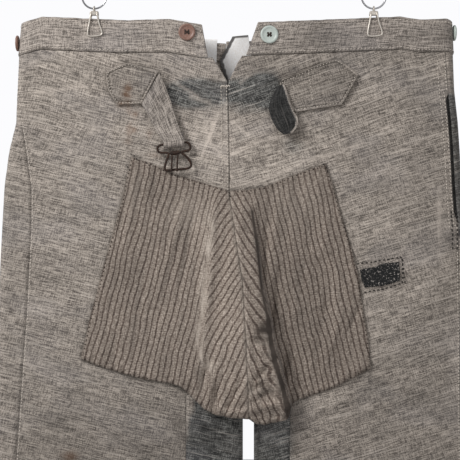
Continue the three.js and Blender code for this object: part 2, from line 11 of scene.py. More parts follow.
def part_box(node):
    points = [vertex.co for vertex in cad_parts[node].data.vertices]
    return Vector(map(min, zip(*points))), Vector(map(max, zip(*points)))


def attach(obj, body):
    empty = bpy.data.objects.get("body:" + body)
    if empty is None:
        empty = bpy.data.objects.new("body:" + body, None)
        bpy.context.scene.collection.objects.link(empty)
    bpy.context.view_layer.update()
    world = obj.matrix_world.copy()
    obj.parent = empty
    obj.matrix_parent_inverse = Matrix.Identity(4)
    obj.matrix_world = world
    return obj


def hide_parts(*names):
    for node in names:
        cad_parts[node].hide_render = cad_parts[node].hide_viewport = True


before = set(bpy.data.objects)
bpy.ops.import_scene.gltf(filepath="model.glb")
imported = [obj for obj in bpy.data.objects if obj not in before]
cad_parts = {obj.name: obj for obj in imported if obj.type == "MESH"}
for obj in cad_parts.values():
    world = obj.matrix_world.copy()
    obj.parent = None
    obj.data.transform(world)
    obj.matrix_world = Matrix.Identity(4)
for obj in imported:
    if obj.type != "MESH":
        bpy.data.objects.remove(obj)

scene = bpy.context.scene
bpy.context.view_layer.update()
MM = 0.001

# The studio: the camera stands straight in front of the hanging back, at the distance where a
# portrait lens takes in 460 mm of cloth, one millimetre to a pixel. The light is soft and white,
# a little stronger from the upper left, and the backdrop and floor are plain and pale.
PHOTO_WIDTH = 460
PHOTO_MIDDLE = (-4, -245)
LENS = 85
SENSOR = 36
camera = bpy.data.objects.new("camera", bpy.data.cameras.new("camera"))
camera.data.lens = LENS
camera.data.sensor_width = SENSOR
camera.location = Vector((PHOTO_MIDDLE[0], -PHOTO_WIDTH * LENS / SENSOR - 2, PHOTO_MIDDLE[1])) * MM
camera.rotation_euler = Euler((pi / 2, 0, 0))
scene.collection.objects.link(camera)
scene.camera = camera
scene.view_settings.view_transform = "Standard"


def colour(text):
    """Linear colour of an sRGB hex value."""
    parts = [int(text[i:i + 2], 16) / 255 for i in (0, 2, 4)]
    return (*[c / 12.92 if c <= 0.04045 else ((c + 0.055) / 1.055) ** 2.4 for c in parts], 1)


def node(tree, kind, links=None, inputs=None, **settings):
    """Add a node with its settings, the values of its inputs and what they are linked to."""
    made = tree.nodes.new(kind)
    for key, value in settings.items():
        setattr(made, key, value)
    for socket, value in (inputs or {}).items():
        made.inputs[socket].default_value = value
    for socket, source in (links or {}).items():
        tree.links.new(source, made.inputs[socket])
    return made


def material(name, values):
    """New material with its tree, cleared to a shader with these values and an output."""
    made = bpy.data.materials.new(name)
    made.use_nodes = True
    made.node_tree.nodes.clear()
    shader = node(made.node_tree, "ShaderNodeBsdfPrincipled", inputs=values)
    node(made.node_tree, "ShaderNodeOutputMaterial", links={"Surface": shader.outputs["BSDF"]})
    return made, made.node_tree, shader


def formed(name, mesh):
    """Object in the scene from a finished mesh."""
    obj = bpy.data.objects.new(name, bpy.data.meshes.new(name))
    mesh.to_mesh(obj.data)
    mesh.free()
    scene.collection.objects.link(obj)
    return obj


world = bpy.data.worlds.new("studio")
world.use_nodes = True
world.node_tree.nodes.clear()
seen = node(world.node_tree, "ShaderNodeLightPath")
backdrop = node(world.node_tree, "ShaderNodeBackground",
                inputs={"Color": colour("fcfcfe"), "Strength": 1.0})
soft = node(world.node_tree, "ShaderNodeBackground",
            inputs={"Color": colour("fbfbff"), "Strength": 0.34})
both = node(world.node_tree, "ShaderNodeMixShader",
            links={0: seen.outputs["Is Camera Ray"], 1: soft.outputs[0], 2: backdrop.outputs[0]})
node(world.node_tree, "ShaderNodeOutputWorld", links={"Surface": both.outputs[0]})
scene.world = world

Lamp = namedtuple("Lamp", "name place width watts")
LAMPS = [Lamp("key", (-1.15, -0.85, 0.75), 0.4, 22), Lamp("fill", (0.9, -1.6, 0.0), 1.6, 7)]
LIT_MIDDLE = Vector((0, 0, -0.3))
for lamp in LAMPS:
    light = bpy.data.objects.new(lamp.name, bpy.data.lights.new(lamp.name, "AREA"))
    light.data.size = lamp.width
    light.data.energy = lamp.watts
    light.location = lamp.place
    light.rotation_euler = (LIT_MIDDLE - Vector(lamp.place)).to_track_quat("-Z", "Y").to_euler()
    scene.collection.objects.link(light)

FLOOR_Z = -1.32
floor_mesh = bmesh.new()
bmesh.ops.create_grid(floor_mesh, x_segments=1, y_segments=1, size=4,
                      matrix=Matrix.Translation((0, 0, FLOOR_Z)))
ground = formed("floor", floor_mesh)
paper = material("pale studio paper", {"Base Color": colour("ecebe9"), "Roughness": 0.9})[0]
ground.data.materials.append(paper)

# The hanging form: front and back of one layer of chambray each, two fingers' breadth apart, and
# rolled over at the sides and, on the legs, at the inner edges. Only the back is clipped, so the
# front waist hangs lower and shows in the notch. All sizes are millimetres.
CLOTH = 1.0
ROLL = 9                       # radius of the rolled sides
ROLL_ARC = pi * ROLL / 2
SWELL = 3                      # what the middle stands out beyond the sides
PANEL_TOP = -68                # a panel's top, before it is moved to meet the band
BAND_LOW = -66
BAND_HIGH = -36
BAND_HEIGHT = 33
CROTCH = -395
HEM = -1115
FRONT_SAG = 18
SEAM_GAP = 0.12                # between two panels at their seam
RING_DEPTH = 9.42              # the rings' plane lies this far before the middle of the cloth
SLIT = {"top": -108, "bottom": -240, "width": 3.4}

Edge = namedtuple("Edge", "z left right seam_left seam_right")
EDGES = [
    Edge(-30, -213, 219, 3, 14), Edge(-68, -217, 221, 3, 14), Edge(-103, -218.6, 222.3, 4, 13),
    Edge(-137, -220, 226, 12, 13), Edge(-166, -227, 228, 24, 13), Edge(-203, -232, 230, 34, 13),
    Edge(-243, -234, 233, 36, 13), Edge(-335, -239, 235, 36, 14), Edge(-475, -245, 238, 32, 16),
    Edge(-760, -241, 238, 22, 14), Edge(-1115, -232, 236, 14, 14),
]
Leg = namedtuple("Leg", "z left right inseam_left inseam_right")
LEGS = [
    Leg(-396, 9, 20, -48, 56), Leg(-475, 9, 20, -48, 56), Leg(-760, -6, 24, -32, 47),
    Leg(-1115, -12, 27, -24, 39),
]
Seam = namedtuple("Seam", "z x left right")
SEAT_SEAM = [
    Seam(-50, -6, 20, 18.5), Seam(-61, -6, 20, 18.5), Seam(-75, -6, 11, 9.5), Seam(-94, -6, 0.3, 0.3),
    Seam(-110, -5.8, 0.15, 0.15), Seam(-180, -4.5, 0.15, 0.15), Seam(-212, -4.5, 0.15, 0.15),
    Seam(-255, 2, 0.15, 0.15), Seam(-295, 8, 0.15, 0.15), Seam(-355, 12, 0.15, 0.15),
    Seam(-440, 15, 0.15, 0.15),
]
Bag = namedtuple("Bag", "z height fold")
BAG = [
    Bag(-205, 0, 22), Bag(-255, 4, 22), Bag(-295, 9, 23), Bag(-332, 12, 31), Bag(-365, 14, 36),
    Bag(-400, 15, 46), Bag(-420, 13, 51), Bag(-434, 8, 51), Bag(-450, 3, 51),
]
BAG_REACH = 130
BandTop = namedtuple("BandTop", "x z")
BAND_TOP = [
    BandTop(-222, -38), BandTop(-212, -36), BandTop(-195, -31), BandTop(-109, -35), BandTop(-68, -34),
    BandTop(-32, -40), BandTop(24, -37), BandTop(69, -35.5), BandTop(134, -32.6), BandTop(168, -31),
    BandTop(187, -34), BandTop(215, -33), BandTop(224, -36),
]


def clamp(t):
    return min(1.0, max(0.0, t))


def ease(t):
    return clamp(t) ** 2 * (3 - 2 * clamp(t))


def mix(a, b, t):
    return a + (b - a) * t


def reading(rows, column, key="z"):
    """Function that reads one column of a table between its rows."""
    ordered = sorted((getattr(row, key), getattr(row, column)) for row in rows)

    def read(at):
        if at <= ordered[0][0]:
            return ordered[0][1]
        for (low, a), (high, b) in zip(ordered, ordered[1:]):
            if at <= high:
                return mix(a, b, (at - low) / (high - low))
        return ordered[-1][1]

    return read


INWARD = {"left": 1, "right": -1}
OTHER = {"left": "right", "right": "left"}
outer_edge = {side: reading(EDGES, side) for side in INWARD}
seam_round = {side: reading(EDGES, f"seam_{side}") for side in INWARD}
inner_edge = {side: reading(LEGS, side) for side in INWARD}
inseam = {side: reading(LEGS, f"inseam_{side}") for side in INWARD}
seat_seam = reading(SEAT_SEAM, "x")
notch = {side: reading(SEAT_SEAM, side) for side in INWARD}
bag_height = reading(BAG, "height")
bag_fold = reading(BAG, "fold")
band_top = reading(BAND_TOP, "z", "x")


def is_leg(z):
    return z < CROTCH - 1


# Folds as ridges: the middle, the lean of the crest from level, the half length and half width,
# and the rise, which is negative in a trough. The broad folds are in the solids too. The creases
# are finer, and the crumple is in the loose bottom of the bagged seat.
Fold = namedtuple("Fold", "x z lean length width rise")
FOLDS = [
    Fold(-150, -150, -14, 70, 11, 2.2), Fold(-95, -235, -18, 80, 13, 1.8),
    Fold(-185, -260, -10, 60, 14, 2.4), Fold(120, -165, 18, 75, 12, 2.2),
    Fold(165, -250, 16, 60, 14, 2.4), Fold(150, -370, 20, 70, 14, 2.6),
    Fold(-130, -440, -24, 80, 15, 2.8), Fold(-120, -640, -70, 150, 18, 4),
    Fold(140, -620, 74, 160, 18, 4), Fold(-150, -900, -82, 170, 20, 4),
    Fold(130, -930, 84, 150, 20, 4),
]
CREASE_DEPTH = 1.35
CREASES = [
    Fold(-17.5, -140, 75, 24, 2.5, 1.1), Fold(8, -130, -60, 18, 2.5, 0.9),
    Fold(-44, -98, -32, 30, 2.6, 1.1), Fold(-60, -110, -27, 34, 3, -0.9),
    Fold(-52, -150, -20, 40, 3, 0.9), Fold(32, -96, 31, 30, 2.6, 1.1),
    Fold(50, -106, 25, 34, 3, -0.9), Fold(44, -140, 22, 34, 3, 0.8),
    Fold(-12, -432, -48, 14, 3.4, -9), Fold(-22, -440, 62, 18, 4, 8), Fold(-5, -452, -70, 14, 3, 7),
    Fold(40, -440, 80, 20, 4, 5), Fold(30, -262, 82, 34, 4, -3.0), Fold(36, -330, 76, 44, 5, -5.0),
    Fold(47, -385, 72, 34, 6, -5.5), Fold(-22, -250, 84, 34, 5, 1.6), Fold(-27, -320, 84, 46, 5, 2.6),
    Fold(-31, -372, 80, 26, 5, 2.2), Fold(-12, -300, 83, 50, 9, -1.5),
    Fold(-28, -110, -38, 16, 3, 0.9), Fold(-40, -122, -34, 20, 4, -0.9),
    Fold(14, -106, 40, 16, 3, 0.9), Fold(24, -120, 36, 20, 4, -0.8), Fold(-190, -108, -6, 26, 4, 1.0),
    Fold(-168, -190, -16, 34, 5, 1.2), Fold(-205, -330, -8, 30, 6, 1.1),
    Fold(-176, -395, -20, 40, 6, 1.4), Fold(60, -150, 20, 30, 4, 0.9),
    Fold(185, -140, 12, 34, 5, 1.1), Fold(176, -200, 14, 40, 5, -1.0),
    Fold(196, -330, 10, 30, 6, 1.2), Fold(110, -415, 24, 36, 6, 1.5),
    Fold(170, -425, 16, 40, 7, -1.3), Fold(-80, -420, -22, 36, 5, 1.3),
    Fold(-196, -440, -14, 40, 7, -1.2), Fold(205.5, -232, 88, 30, 1.6, 0.9),
    Fold(28, -345, -20, 7, 2.4, 2.0), Fold(24, -353, 12, 8, 2.2, -2.2),
    Fold(30, -362, -8, 6, 2.0, 1.6), Fold(18, -412, 55, 14, 2.4, 1.2),
    Fold(2, -402, 60, 18, 3.2, -1.2), Fold(34, -396, 70, 16, 3, 1.4), Fold(-30, -402, 72, 16, 3, 1.8),
    Fold(-40, -396, 64, 14, 3, -1.5), Fold(66, -250, -72, 60, 7, 1.2),
    Fold(106, -292, -62, 36, 3.4, 2.2), Fold(100, -352, 74, 30, 3.2, 2.0),
    Fold(122, -330, 66, 22, 2.8, -1.6), Fold(92, -330, 82, 50, 5, -1.4),
    Fold(-62, -262, 74, 60, 4, 1.9), Fold(-50, -282, 78, 60, 4, -1.8),
    Fold(70, -240, -60, 40, 5, 1.2), Fold(86, -300, -66, 50, 6, -1.2),
    Fold(-100, -230, 70, 60, 8, 0.9), Fold(-70, -300, 76, 70, 7, -0.9),
    Fold(-120, -330, 76, 40, 6, 0.8),
]
CRUMPLE_DEPTH = 1.3
CRUMPLE = [
    Fold(27, -351, -22, 12, 2.6, 2.6), Fold(24, -359, -16, 12, 2.4, -2.0),
    Fold(30, -366, -30, 11, 2.4, 2.2), Fold(38, -376, -62, 14, 2.8, 2.4),
    Fold(28, -384, 60, 14, 2.6, -2.2), Fold(40, -400, -70, 18, 2.6, 2.6),
    Fold(32, -402, -66, 16, 2.4, -2.2), Fold(22, -396, 34, 12, 2.4, 1.8),
    Fold(25, -411, 28, 12, 2.6, -2.4), Fold(30, -420, 20, 12, 2.6, 2.0),
    Fold(10, -400, 58, 20, 3.2, 2.0), Fold(2, -406, 62, 20, 2.8, -2.0),
    Fold(-8, -410, 66, 16, 3, 2.0), Fold(-16, -404, 72, 18, 2.6, -2.2),
    Fold(-24, -406, 78, 16, 2.6, 2.2), Fold(-31, -398, 84, 14, 2.4, -2.0),
    Fold(-38, -398, 82, 12, 2.4, 2.0), Fold(-31, -375, -52, 11, 2.4, 2.6),
    Fold(-37, -369, -66, 14, 2.4, -2.0), Fold(-27, -384, 64, 9, 2.2, -1.8),
    Fold(10, -424, 12, 16, 2.6, 1.6), Fold(-10, -424, -8, 14, 2.4, 1.4),
]


def ridge(x, z, rows):
    """Rise of all the folds of a table together at a place."""
    rise = 0
    for fold in rows:
        dx, dz = x - fold.x, z - fold.z
        if abs(dx) + abs(dz) > 3.2 * (fold.length + fold.width):
            continue
        c, s = cos(radians(fold.lean)), sin(radians(fold.lean))
        u, v = (dx * c + dz * s) / fold.length, (dz * c - dx * s) / fold.width
        rise += fold.rise * exp(-u * u - v * v)
    return rise


def drag_lines(x, z):
    """Shallow uneven wrinkles: towards the crotch on the seat, and down the legs below it."""
    toward = seat_seam(z) - x
    lean = radians(-14 if toward > 0 else 16)
    across = z * cos(lean) - x * sin(lean)
    along = x * cos(lean) + z * sin(lean)
    seat = noise.noise((along / 60, across / 11, 3)) + 0.45 * noise.noise((along / 22, across / 5, 8))
    leg = noise.noise((x / 16, z / 110, 5)) * 2.2 + 0.5 * noise.noise((x / 8, z / 40, 9))
    return mix(seat, leg, ease((CROTCH - 40 - z) / 160)) * 0.8


def bag_rise(x, z):
    """The full seat, which bags out over the crotch and falls off steeply into its fold."""
    fold = bag_fold(z)
    full = bag_height(z) * ease((fold + 4 - x) / 6) * ease((x - (fold - BAG_REACH)) / (BAG_REACH - 20))
    return full + CRUMPLE_DEPTH * ridge(x, z, CRUMPLE) * ease((fold + 3 - x) / 6)


def swell(x, z, side, face, bag):
    """How far a face stands out at a place, fading to nothing at its rolled edges."""
    outer = outer_edge[side](z)

    def across(other):
        return min(1, abs(x - (outer + other) / 2) / (abs(outer - other) / 2 - ROLL))

    body = across(outer_edge[OTHER[side]](z))
    leg = across(inner_edge[side](z))
    to_leg = ease((CROTCH + 95 - z) / 95)
    broad = mix((1 - body ** 2) ** 2, (1 - leg ** 2) ** 2, to_leg)
    fade = mix((1 - body ** 6) ** 2, (1 - leg ** 6) ** 2, to_leg)
    seen_x, shift = (x, 0) if face == "back" else (-x, 500)
    out = SWELL * broad + fade * (ridge(seen_x, z, FOLDS) + drag_lines(seen_x + shift, z))
    if face == "back":
        out += fade * CREASE_DEPTH * ridge(x, z, CREASES)
        if not is_leg(z):
            out += bag * bag_rise(x, z)
    return out


def skin(side, z, distance, bag=0.8):
    """Place of the cloth at a distance round the side from the middle of the rolled outer edge."""
    s = INWARD[side]
    outer = outer_edge[side](z)
    if abs(distance) <= ROLL_ARC:
        turn = distance / ROLL
        return outer + s * ROLL * (1 - cos(turn)), ROLL * sin(turn)
    x = outer + s * (ROLL + abs(distance) - ROLL_ARC)
    if distance < 0:
        return x, -ROLL - swell(x, z, side, "back", bag)
    if is_leg(z):
        inner = inner_edge[side](z)
        past = s * (x - (inner - s * ROLL))
        if past > 2 * ROLL_ARC:
            back = inner - s * (ROLL + past - 2 * ROLL_ARC)
            return back, -ROLL - swell(back, z, side, "back", bag)
        if past > 0:
            turn = past / ROLL
            return inner - s * ROLL * (1 - sin(turn)), ROLL * cos(turn)
    return x, ROLL + swell(x, z, side, "front", bag)


def round_to(side, z, x):
    """Distance round the side at which the back reaches x, negative as on the back."""
    return -(ROLL_ARC + abs(x - outer_edge[side](z)) - ROLL)


def front_seam(z):
    return mix(-8, 14.5, clamp((-50 - z) / (-50 - CROTCH)))


def side_x(side, z, distance):
    """Place across the cloth, from left to right, at a distance round the side."""
    s = INWARD[side]
    if abs(distance) <= ROLL_ARC:
        return outer_edge[side](z) + s * ROLL * (1 - cos(distance / ROLL))
    return outer_edge[side](z) + s * (ROLL + abs(distance) - ROLL_ARC)


def band_bottom(side, distance):
    """Level of the band's lower edge, which hangs lower towards the middle of the front."""
    if distance <= 0:
        return band_top(side_x(side, BAND_LOW, distance)) - BAND_HEIGHT
    span = abs(outer_edge[side](PANEL_TOP) - front_seam(-50)) - ROLL
    sag = FRONT_SAG * ease((distance - ROLL_ARC) / span)
    return band_top(outer_edge[side](BAND_HIGH)) - BAND_HEIGHT - sag


def waist_shift(side, z, distance):
    """How far the cloth near the waist is moved up or down, so that it meets its band."""
    return (band_bottom(side, distance) - PANEL_TOP) * ease((z + 170) / 100)


def cloth_point(side, z, distance, lift=0.0, bag=0.8):
    """Point of a panel, lifted off it along the cloth's own normal."""
    step = 0.5
    x, y = skin(side, z, distance, bag)
    if lift:
        (ax, ay), (bx, by) = skin(side, z, distance - step, bag), skin(side, z, distance + step, bag)
        normal = Vector((ay - by, bx - ax)).normalized() * INWARD[side] * lift
        x, y = x + normal.x, y + normal.y
    return Vector((x, y + RING_DEPTH, z + waist_shift(side, z, distance)))


# The chambray: one sheet per panel, worn soft, that hangs a little off its grain. It is woven from
# dark and pale yarn, so the faded cloth is a salt-and-pepper of short flecks, with slubs in the weft.
# Where the back buckle strap and the hip pocket kept the sun off, it is still dark slate.
def attribute(tree, name):
    return node(tree, "ShaderNodeAttribute", attribute_name=name).outputs["Fac"]


def math(tree, operation, a, b=None, clamped=False):
    links = {i: v for i, v in enumerate((a, b)) if hasattr(v, "links")}
    inputs = {i: v for i, v in enumerate((a, b)) if v is not None and not hasattr(v, "links")}
    return node(tree, "ShaderNodeMath", links, inputs, operation=operation, use_clamp=clamped).outputs[0]


def scaled(tree, value, amount, clamped=False):
    return math(tree, "MULTIPLY", value, amount, clamped)


def added(tree, total, *others):
    for other in others:
        total = math(tree, "ADD", total, other)
    return total


def varied(tree, value, amount):
    """Lumps made to vary about zero, by an amount."""
    return scaled(tree, math(tree, "SUBTRACT", value, 0.5), amount)


def blend_colours(tree, factor, a, b):
    """Mix two colours, each a socket or a hex value, by a factor that is a socket."""
    made = node(tree, "ShaderNodeMix", data_type="RGBA")
    for index, value in ((0, factor), (6, a), (7, b)):
        if isinstance(value, str):
            made.inputs[index].default_value = colour(value)
        else:
            tree.links.new(value, made.inputs[index])
    return made.outputs[2]


def stretched(tree, along, across, turn=0.0, shift=0.0):
    """Cloth coordinates turned by an angle and scaled to lumps per metre along and across."""
    source = node(tree, "ShaderNodeUVMap", uv_map="cloth").outputs[0]
    turned = node(tree, "ShaderNodeMapping", links={"Vector": source}, vector_type="POINT",
                  inputs={"Rotation": (0, 0, radians(turn)), "Location": (shift, shift * 0.7, 0)})
    return node(tree, "ShaderNodeMapping", links={"Vector": turned.outputs[0]}, vector_type="POINT",
                inputs={"Scale": (along, across, 1)}).outputs[0]


def lumps(tree, vector, detail=2.0, rough=0.5, scale=1.0):
    return node(tree, "ShaderNodeTexNoise", links={"Vector": vector},
                inputs={"Scale": scale, "Detail": detail, "Roughness": rough}).outputs["Fac"]


def steps(tree, value, low, high):
    """Value from 0 at low to 1 at high, clamped."""
    return node(tree, "ShaderNodeMapRange", links={"Value": value},
                inputs={"From Min": low, "From Max": high}).outputs[0]


def shaded(tree, shader, tone):
    """Colour a shader by a tone that the painted shade makes lighter or darker."""
    made = node(tree, "ShaderNodeHueSaturation",
                links={"Color": tone, "Value": attribute(tree, "shade")})
    tree.links.new(made.outputs[0], shader.inputs["Base Color"])


def raised(tree, shader, height, strength=0.5, distance=0.0005):
    """Let the yarns or the grain stand out a little."""
    bump = node(tree, "ShaderNodeBump", links={"Height": height},
                inputs={"Strength": strength, "Distance": distance})
    tree.links.new(bump.outputs[0], shader.inputs["Normal"])


def chambray(name, grain, dark, mid, pale):
    """Worn chambray whose weft is turned by the angle that the panel hangs off its grain."""
    made, tree, shader = material(name, {"Roughness": 0.92, "IOR": 1.47, "Sheen Weight": 0.12,
                                         "Sheen Roughness": 0.5})
    weft = lumps(tree, stretched(tree, 90, 1050, grain), 1.0)
    warp = lumps(tree, stretched(tree, 1050, 120, grain, 0.3), 1.0)
    fleck = lumps(tree, stretched(tree, 1000, 1100, grain, 0.7), 1.0)
    slub = lumps(tree, stretched(tree, 16, 620, grain, 1.1), 1.0)
    thin = lumps(tree, stretched(tree, 540, 22, grain, 1.5), 1.0)
    worn = lumps(tree, stretched(tree, 26, 60, grain, 1.9), 3.0, 0.6)
    patchy = lumps(tree, stretched(tree, 9, 22, grain, 2.3), 3.0, 0.6)
    cool = lumps(tree, stretched(tree, 16, 24, grain, 3.1), 2.0)
    yarns = added(tree, scaled(tree, weft, 0.40), scaled(tree, warp, 0.28), scaled(tree, fleck, 0.32),
                  varied(tree, slub, 0.13), varied(tree, thin, 0.06), varied(tree, worn, 0.07))
    low = steps(tree, yarns, 0.40, 0.51)
    high = steps(tree, yarns, 0.48, 0.61)
    faded = blend_colours(tree, high, blend_colours(tree, low, dark, mid), pale)
    slate = blend_colours(tree, high, blend_colours(tree, low, "1c1d1d", "3e3f3e"), "8b8b87")
    kept = steps(tree, added(tree, attribute(tree, "unfaded"), varied(tree, worn, 0.9)), 0.2, 0.8)
    tone = blend_colours(tree, scaled(tree, kept, 0.92), faded, slate)
    tone = blend_colours(tree, scaled(tree, steps(tree, slub, 0.60, 0.72), 0.36), tone, "cfc5ba")
    tone = blend_colours(tree, scaled(tree, steps(tree, cool, 0.48, 0.66), 0.13), tone, "858388")
    # Faded and rubbed places, and a painted highlight down the bag's ridge, lighten the cloth here.
    light = added(tree, attribute(tree, "pale"), varied(tree, patchy, 0.5))
    tone = blend_colours(tree, scaled(tree, light, 0.55, True), tone, "c8bcb0")
    # Painted shadow in folds, under raised edges and in the pocket slit, with some real dirt, darkens the
    # cloth here.
    tone = blend_colours(tree, scaled(tree, attribute(tree, "grime"), 0.75, True), tone, "4d463e")
    rust = scaled(tree, attribute(tree, "rust"), steps(tree, worn, 0.38, 0.55), True)
    tone = blend_colours(tree, scaled(tree, rust, 0.7), tone, "6b4a30")
    shaded(tree, shader, tone)
    raised(tree, shader, added(tree, scaled(tree, weft, 0.6), scaled(tree, warp, 0.4)))
    return made


panel_cloth = {
    "left": chambray("Worn chambray, left panel", 13, "57504a", "8f867d", "bfb4a8"),
    "right": chambray("Worn chambray, right panel", -17, "544d47", "8c837a", "bcb1a5"),
}
level_cloth = chambray("Worn chambray, level grain", 0, "59524c", "918880", "c1b6ab")

# Marks of wear, and painted light and shade, as spots: the middle, the half width and half height, and
# how strong the mark is.
Spot = namedtuple("Spot", "x z width height amount")
UNFADED = [
    Spot(-46, -109, 24, 13, 1.6), Spot(-14, -107, 34, 11, 1.1), Spot(14, -106, 24, 12, 0.7),
    Spot(33, -106, 12, 17, 1.3), Spot(22, -97, 20, 8, 0.4), Spot(50, -112, 12, 16, 0.9),
    Spot(10, -124, 20, 7, 0.35), Spot(-30, -455, 9, 30, 1.2), Spot(40, -455, 20, 20, 1.5),
    Spot(58, -160, 12, 10, 0.5), Spot(-66, -176, 16, 9, 0.4), Spot(-47.5, -64, 12, 5, 0.35),
]
# Lighter spots: the faded seat, a painted highlight down the ridge of the bag, and two narrow pale marks
# at the right side.
PALE = [
    Spot(-20, -165, 70, 40, 0.12), Spot(205.5, -232, 2.2, 34, 1.0), Spot(-26, -320, 2.5, 50, 0.25),
    Spot(223, -158, 1.2, 4, 2.0),
]
# Darker spots: real dirt round two rust marks, painted shadow below the folded right strap and along the
# right side, and darker places at the left side, the lower legs and the inseams.
DIRT_AND_SHADOW = [
    Spot(-231, -367, 6, 5, 0.8), Spot(-231, -291, 6, 4, 0.8), Spot(-165, -472, 9, 6, 0.4),
    Spot(211, -51, 9, 5, 0.6), Spot(64, -152, 8, 9, 0.6), Spot(226, -250, 10, 40, 0.5),
    Spot(-190, -470, 60, 26, 0.25), Spot(180, -470, 60, 20, 0.1), Spot(214, -360, 16, 120, 0.2),
    Spot(-54, -440, 8, 36, 0.3), Spot(60, -440, 8, 40, 0.5),
]
RUST = [
    Spot(-105.5, -103, 4, 3.5, 1.1), Spot(-107, -109, 5, 3.5, 0.9), Spot(-113, -119, 4, 3, 0.8),
    Spot(-99, -131, 3, 4, 1.1), Spot(-100, -145, 2.5, 2.5, 0.9), Spot(-107, -157, 3, 2, 0.7),
    Spot(-106, -111, 3.4, 12, 0.7), Spot(-105, -141, 3, 15, 0.6), Spot(211, -51, 7, 4, 0.6),
    Spot(-164, -472, 8, 6, 0.8), Spot(-85, -151, 3, 5, 0.6), Spot(-79, -171, 6, 4, 0.7),
    Spot(-69, -186, 6, 4, 0.5),
]

# Spots that make the cloth lighter or darker: painted shade along the sides where the cloth rolls away
# and just right of the notch below the band, darker lower legs and right band, and lighter where the seat
# is faded.
SHADES = [
    Spot(-120, -470, 110, 110, -0.27), Spot(-20, -446, 40, 30, -0.12), Spot(34, -446, 20, 30, -0.06),
    Spot(150, -440, 120, 110, -0.15), Spot(205, -150, 26, 160, -0.14), Spot(120, -60, 90, 36, -0.12),
    Spot(-130, -140, 80, 60, -0.02), Spot(-225, -250, 12, 200, -0.1), Spot(-6, -90, 50, 24, -0.06),
    Spot(130, -160, 90, 60, 0.01), Spot(160, -320, 60, 60, 0.02), Spot(34, -80, 40, 10, -0.14),
    Spot(100, -50, 80, 14, -0.09), Spot(-20, -160, 60, 34, 0.24), Spot(50, -178, 40, 14, 0.16),
    Spot(-120, -60, 60, 20, 0.07), Spot(-150, -120, 70, 50, 0.06), Spot(150, -290, 30, 60, 0.07),
]
COATS = {"unfaded": UNFADED, "pale": PALE, "grime": DIRT_AND_SHADOW, "rust": RUST}


def painted(x, z, spots):
    """Strength of all the spots of a table together at a place."""
    amount = 0
    for spot in spots:
        u, v = (x - spot.x) / spot.width, (z - spot.z) / spot.height
        if u * u + v * v < 9:
            amount += spot.amount * exp(-u * u - v * v)
    return amount


def paint(obj, values):
    """Store named vertex values, each a list with one number for every vertex."""
    for name, amounts in values.items():
        layer = obj.data.attributes.new(name, "FLOAT", "POINT")
        layer.data.foreach_set("value", amounts)


def coat(obj, but=None, shade=1.0, **fixed):
    """Paint the marks of wear, and the painted shade and light, where the vertices are. Fixed values
    replace a mark everywhere, and a function given as but can change the values of a vertex."""
    values = {key: [] for key in (*COATS, "shade")}
    for vertex in obj.data.vertices:
        x, z = vertex.co.x / MM, vertex.co.z / MM
        marks = {key: fixed[key] if key in fixed else painted(x, z, spots)
                 for key, spots in COATS.items()}
        lean = -0.24 if x < seat_seam(z) else 0.28
        streak = noise.noise(((x + z * lean) / 50, (z - x * lean) / 7, 12))
        streak += 0.5 * noise.noise((x / 40, z / 34, 15))
        marks["shade"] = shade * (1 + painted(x, z, SHADES) + 0.25 * streak)
        if but:
            but(marks, x, vertex.co.y / MM, z)
        for key, value in marks.items():
            values[key].append(value)
    paint(obj, values)


def places(obj):
    """Places of the vertices on the back, as rows of x and z in millimetres."""
    flat = np.empty(len(obj.data.vertices) * 3)
    obj.data.vertices.foreach_get("co", flat)
    return flat.reshape(-1, 3)[:, [0, 2]] / MM


def gap_to(points, line):
    """Distance of each place from a polyline."""
    best = np.full(len(points), 1e3)
    for start, stop in zip(line, line[1:]):
        a, b = np.array(start, float), np.array(stop, float)
        share = np.clip((points - a) @ (b - a) / max(1e-9, (b - a) @ (b - a)), 0, 1)
        best = np.minimum(best, np.linalg.norm(points - a - share[:, None] * (b - a), axis=1))
    return best


def mark_along(obj, line, key, amount, width):
    """Add to a mark of wear along a line, fading over a width to each side."""
    layer = obj.data.attributes[key].data
    values = np.empty(len(layer), np.float32)
    layer.foreach_get("value", values)
    values += amount * np.exp(-(gap_to(places(obj), line) / width) ** 2)
    layer.foreach_set("value", values)


def woven(name, across, down, place, flat=None):
    """Sheet of cloth: a grid over two lists of running measures that a function puts in space.
    Its cloth coordinates are the measures in metres, or what a function given as flat makes of
    them."""
    mesh = bmesh.new()
    bmesh.ops.create_grid(mesh, x_segments=len(across) - 1, y_segments=len(down) - 1, size=0.5)
    layer = mesh.loops.layers.uv.new("cloth")
    cells = {}
    for vertex in mesh.verts:
        i = round((vertex.co.x + 0.5) * (len(across) - 1))
        j = round((0.5 - vertex.co.y) * (len(down) - 1))
        cells[vertex] = (i, j)
    for vertex, (i, j) in cells.items():
        vertex.co = Vector(place(across[i], down[j])) * MM
    for face in mesh.faces:
        for loop in face.loops:
            i, j = cells[loop.vert]
            loop[layer].uv = flat(across[i], down[j]) if flat else (across[i] * MM, down[j] * MM)
        face.smooth = True
    mesh.normal_update()
    return formed(name, mesh)


def flip(obj):
    """Turn the faces over, so that the good side faces out."""
    mesh = bmesh.new()
    mesh.from_mesh(obj.data)
    bmesh.ops.reverse_faces(mesh, faces=mesh.faces)
    mesh.to_mesh(obj.data)
    mesh.free()


def thicken(obj, depth, offset=-1):
    made = obj.modifiers.new("thickness", "SOLIDIFY")
    made.thickness = depth * MM
    made.offset = offset


def cloth_area(obj):
    return sum(face.area for face in obj.data.polygons)


def running(start, stop, step):
    """Even measures from start to stop, about a step apart."""
    count = max(1, round(abs(stop - start) / step))
    return [mix(start, stop, i / count) for i in range(count + 1)]


def shares(count):
    """Even shares from 0 to 1."""
    return [i / count for i in range(count + 1)]


